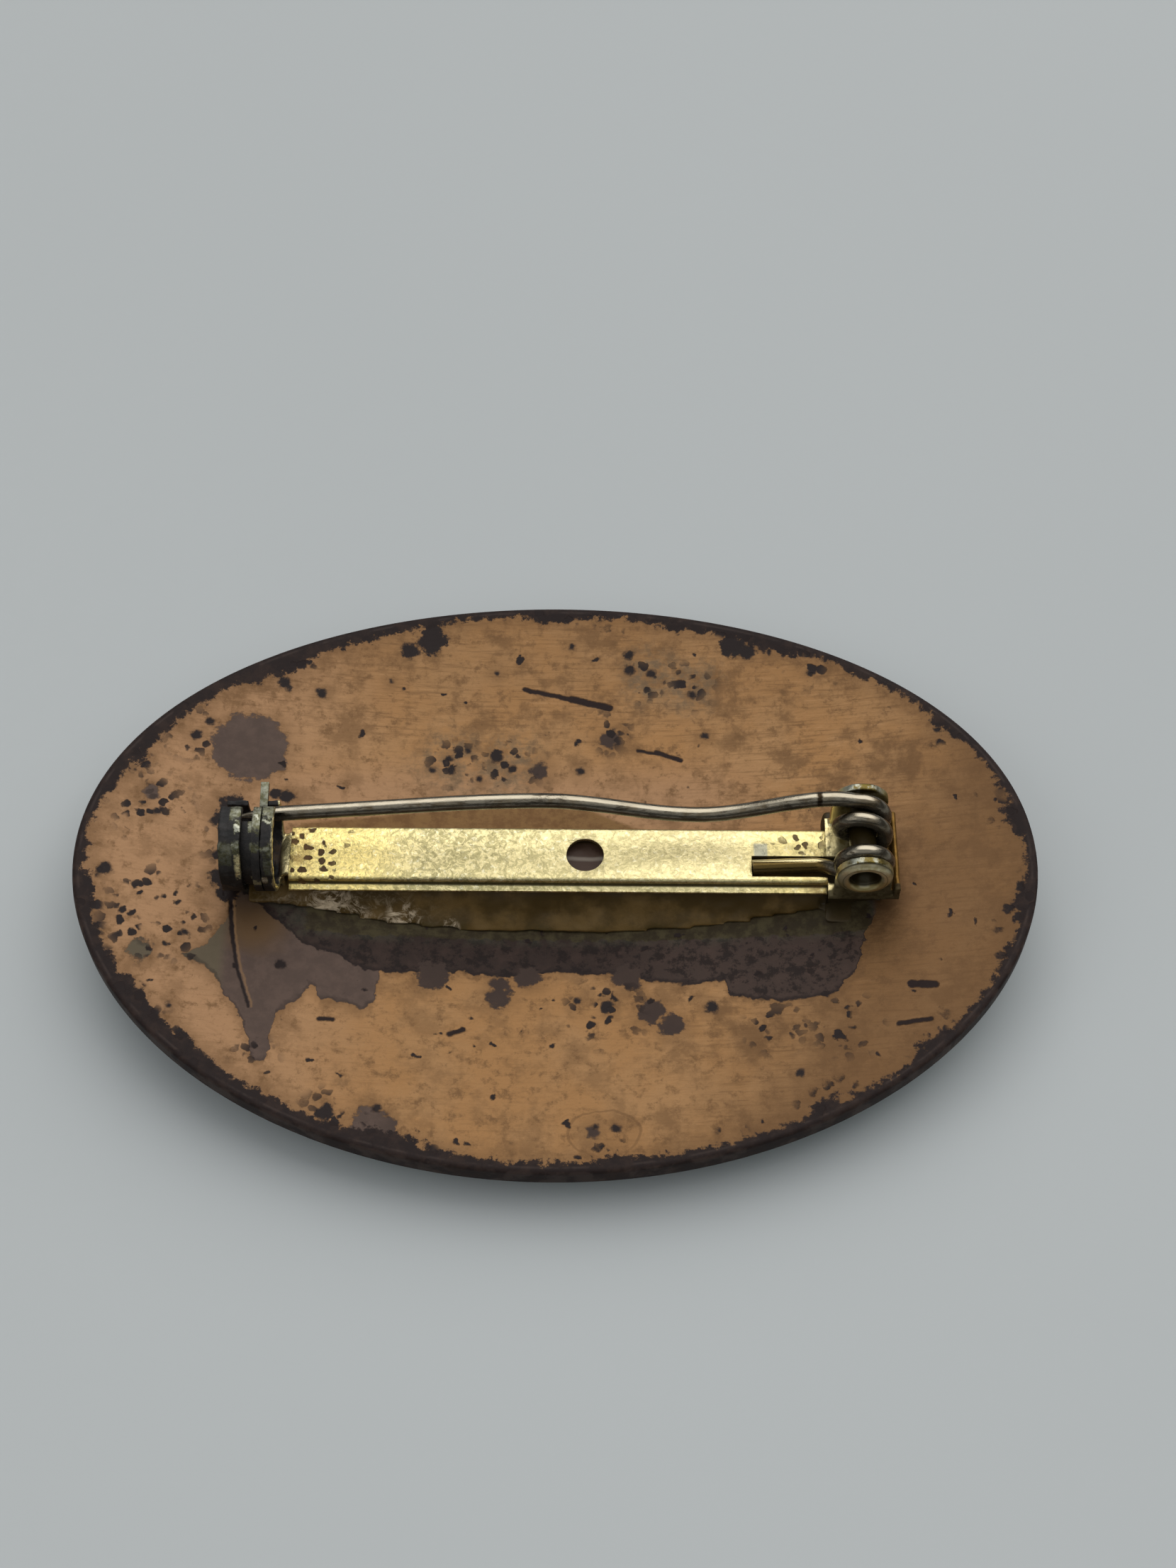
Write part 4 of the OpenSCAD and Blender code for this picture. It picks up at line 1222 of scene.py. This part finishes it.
class BADGE_OT_eyelet(Operator):
    """Makes the hollow rivet that the coil turns about"""
    bl_idname = "badge.eyelet"
    bl_label = "Eyelet"

    def execute(self, context):
        finding = context.scene.badge_finding
        near, far = -2.40, 2.40
        profile = [
            (far, 0.52), (far, 0.44), (far - 0.1, 0.42), (near + 1.4, 0.28), (near + 0.9, 0.36), (near + 0.5, 0.56),
            (near + 0.25, 0.66), (near + 0.08, 0.72), (near - 0.05, 0.80), (near - 0.10, 0.92), (near - 0.08, 1.05),
            (near, 1.17), (near + 0.08, 1.25), (near + 0.145, 1.27), (near + 0.148, 1.05), (near + 0.148, 0.66),
            (near + 0.2, 0.62), (far - 0.15, 0.62), (far - 0.15, 0.94), (far - 0.1, 0.99), (far - 0.04, 0.96),
            (far, 0.86)]
        stations = [(y * MM, radius * MM) for y, radius in profile]
        low_y, high_y = EYELET_LOW.y, EYELET_HIGH.y
        mid_y = (low_y + high_y) / 2
        stations = [(mid_y + y * (high_y - low_y) / ((far - near) * MM), radius) for y, radius in stations]
        piece = turned(stations, HINGE[0] * MM, HINGE[1] * MM)
        piece = close(piece, "hollow_eyelet", 50)
        settle(piece, eyelet_paint(finding), "base", ["hinge_eyelet"])
        return {"FINISHED"}


def mark_facing(piece):
    """Stores how far each point of the wire faces up, for its painted highlight and shade."""
    facing = piece.data.attributes.new("facing", "FLOAT", "POINT")
    for vertex, mark in zip(piece.data.vertices, facing.data):
        mark.value = vertex.normal.z


def stem_route(wire_radius):
    """Places and radii of the pin's wire, from its point to the end of the coil."""
    slope, yaw = 0.106, (STEM_Y - REST_Y) / (HINGE[0] - REST_X)
    tip_x, straight_x = -14.60, -5.5
    crown_z = HINGE[1] + COIL_RADIUS

    def on_stem(x, z):
        return (x, REST_Y + yaw * (x - REST_X), z)

    def rest_height(x):
        return REST_Z + slope * (x - REST_X)

    places, radii = [], []
    point_length, point_radius, steps = 2.0, 0.05, 60
    for i in range(steps):
        x = tip_x + (straight_x - tip_x) * i / steps
        places.append(on_stem(x, rest_height(x)))
        share = min(1, (x - tip_x) / point_length)
        radii.append(point_radius + (wire_radius - point_radius) * sin(share * pi / 2) ** 0.9)
    knots = [(straight_x, rest_height(straight_x), slope), (-0.6, crown_z + 0.1, 0), (6.7, crown_z - 1.15, 0),
             (HINGE[0] - 1.25, crown_z + 0.2, 0), (HINGE[0], crown_z, 0)]
    for (x0, z0, m0), (x1, z1, m1), count in zip(knots, knots[1:], (30, 44, 40, 8)):
        width = x1 - x0
        for i in range(count):
            t = i / count
            bend = width * (t * (1 - t) ** 2 * m0 - t * t * (1 - t) * m1)
            places.append(on_stem(x0 + width * t, (1 - ease_share(t)) * z0 + ease_share(t) * z1 + bend))
            radii.append(wire_radius)
    step = 6
    for angle in range(0, 540 + step, step):
        places.append(coil_point(90 - angle, STEM_Y - COIL_PITCH * angle / 360))
        radii.append(wire_radius)
    return places, radii


def tail_route():
    """Places of the turn that the bar holds and of the tail that lies in its slot."""
    slot_x1 = HINGE[0] - 0.55
    bend_x = slot_x1 - 1.6
    tail_z = WEB_TOP - 0.08
    places = [coil_point(angle, HELD_TURN_Y) for angle in range(215, -91, -5)]
    leave = coil_point(-90, HELD_TURN_Y)
    steps = 24
    for i in range(1, steps + 1):
        t = i / steps
        places.append((leave[0] + (bend_x - leave[0]) * t, HELD_TURN_Y + (-0.28 - HELD_TURN_Y) * ease_share(t),
                       leave[2] + (tail_z - leave[2]) * ease_share(t)))
    places.append((9.19, -0.43, tail_z))
    return places


class BADGE_OT_wires(Operator):
    """Makes the pin with its coil, and the held turn with its tail"""
    bl_idname = "badge.wires"
    bl_label = "Pin wire"

    def execute(self, context):
        finding = context.scene.badge_finding
        paint = wire_paint(finding)
        places, radii = stem_route(finding.wire_radius / MM)
        stem = wire_piece([[c * MM for c in place] for place in places], [r * MM for r in radii])
        stem = close(stem, "spring_pin", 60)
        mark_facing(stem)
        settle(stem, paint, "pin", ["pin_stem"])
        places = tail_route()
        tail = wire_piece([[c * MM for c in place] for place in places], [finding.wire_radius] * len(places))
        tail = close(tail, "held_tail", 60)
        mark_facing(tail)
        settle(tail, paint, "base", ["spring_tail"])
        return {"FINISHED"}


class BADGE_OT_rotor(Operator):
    """Makes the catch's turning ring with its tab"""
    bl_idname = "badge.rotor"
    bl_label = "Catch rotor"

    def execute(self, context):
        finding = context.scene.badge_finding
        narrowing, ring_x = 0.56, -13.29
        piece = cad_copy("catch_rotor")
        edit(piece)
        bpy.ops.transform.resize(value=(narrowing, 1, 1), center_override=(ring_x * MM, 0, 0))
        bpy.ops.object.mode_set(mode="OBJECT")
        wear_edges(piece, 0.09 * MM, segments=3)
        # Painted highlights and worn plating over the rotor's lit top; the rest stays dark
        wear_and_highlight_places = [(-13.9, -13.2, 0, 104, 0.6), (-13.7, -13.4, 62, 68, 0.95), (-13.65, -13.4, 80, 88, 1.0),
                         (-13.8, -13.3, 118, 132, 0.5)]
        gilt_highlight_places = [(-13.8, -13.3, 176, 182, 0.3)]
        piece = close(piece, "safety_rotor", 40)
        tarnished = catch_paint("tarnished_rotor", finding, wear_and_highlight_places, gilt_highlight_places)
        settle(piece, tarnished, "rotor", ["catch_rotor"])
        return {"FINISHED"}


def soft_lamp(name, place, aim, size, power):
    clear_selection()
    bpy.ops.object.light_add(type="AREA", location=place)
    lamp = bpy.context.object
    lamp.name = name
    lamp.data.shape = "RECTANGLE"
    lamp.data.size, lamp.data.size_y = size
    lamp.data.energy = power
    toward = Vector(aim) - Vector(place)
    lamp.rotation_euler = toward.to_track_quat("-Z", "Y").to_euler()
    return lamp


def room_light(strength):
    """Light of the room: bright overhead, dimmer low down, and pale at the horizon."""
    world = bpy.data.worlds.new("pale_room")
    world.use_nodes = True
    bpy.context.scene.world = world
    tree = world.node_tree
    direction = tree.nodes.new("ShaderNodeTexCoord")
    parts = tree.nodes.new("ShaderNodeSeparateXYZ")
    ramp = tree.nodes.new("ShaderNodeValToRGB")
    for place, level in [(0.08, 0.42), (0.16, 0.12), (0.45, 0.14), (0.75, 0.86)]:
        element = ramp.color_ramp.elements.new(place)
        element.color = (0.93 * level, 0.97 * level, level, 1)
    elements = ramp.color_ramp.elements
    elements[0].color = (0.39, 0.41, 0.42, 1)
    elements[-1].color = (0.80, 0.83, 0.86, 1)
    tree.links.new(direction.outputs["Generated"], parts.inputs[0])
    tree.links.new(parts.outputs["Z"], ramp.inputs[0])
    background = tree.nodes["Background"]
    tree.links.new(ramp.outputs["Color"], background.inputs["Color"])
    background.inputs["Strength"].default_value = strength


class BADGE_OT_stage(Operator):
    """Makes the table, the soft light and the camera"""
    bl_idname = "badge.stage"
    bl_label = "Table, light and camera"

    def execute(self, context):
        stage = context.scene.badge_stage
        clear_selection()
        bpy.ops.mesh.primitive_plane_add(size=stage.floor_size)
        floor = context.object
        floor.name = "table"
        floor.data.materials.append(floor_paint(stage))

        soft_lamp("window", (0.16, 0.42, 0.62), (0, 0, 0), (1.1, 1.0), stage.key_power)
        soft_lamp("room_side", (-0.55, -0.2, 0.45), (0, 0, 0), (0.5, 0.5), stage.fill_power)

        room_light(stage.world_strength)

        place, turn = (2.1034, -55.3239, 97.8147), (32.30, 0.037, 0.523)
        bpy.ops.object.camera_add(
            location=[c * MM for c in place], rotation=[radians(angle) for angle in turn])
        camera = context.object
        camera.name = "camera"
        camera.data.sensor_width = 36
        camera.data.sensor_fit = "AUTO"
        camera.data.lens = stage.lens
        camera.data.clip_start = 0.005
        context.scene.camera = camera
        context.scene.view_settings.view_transform = "Standard"
        return {"FINISHED"}


STEPS = [BADGE_OT_plate, BADGE_OT_enamel, BADGE_OT_adhesive, BADGE_OT_bar, BADGE_OT_catch, BADGE_OT_hinge,
         BADGE_OT_eyelet, BADGE_OT_wires, BADGE_OT_rotor, BADGE_OT_stage]
GROUPS = {"badge_plate": PlateSettings, "badge_enamel": EnamelSettings, "badge_finding": FindingSettings,
          "badge_adhesive": AdhesiveSettings, "badge_stage": StageSettings}


class BADGE_PT_panel(Panel):
    """Lists the badge's pieces and settings in the sidebar"""
    bl_idname = "BADGE_PT_panel"
    bl_label = "Pin-back badge"
    bl_space_type = "VIEW_3D"
    bl_region_type = "UI"
    bl_category = "Badge"

    def draw(self, context):
        for step in STEPS:
            self.layout.operator(step.bl_idname)
        for group, kind in GROUPS.items():
            box = self.layout.box()
            for name in kind.__annotations__:
                box.prop(getattr(context.scene, group), name)


def register():
    for kind in [*GROUPS.values(), *STEPS, BADGE_PT_panel]:
        bpy.utils.register_class(kind)
    for group, kind in GROUPS.items():
        setattr(bpy.types.Scene, group, PointerProperty(type=kind))


def unregister():
    for group in GROUPS:
        delattr(bpy.types.Scene, group)
    for kind in reversed([*GROUPS.values(), *STEPS, BADGE_PT_panel]):
        bpy.utils.unregister_class(kind)


def main():
    register()
    for step in STEPS:
        family, call = step.bl_idname.split(".")
        getattr(getattr(bpy.ops, family), call)()
    clear_selection()


if __name__ == "__main__":
    main()
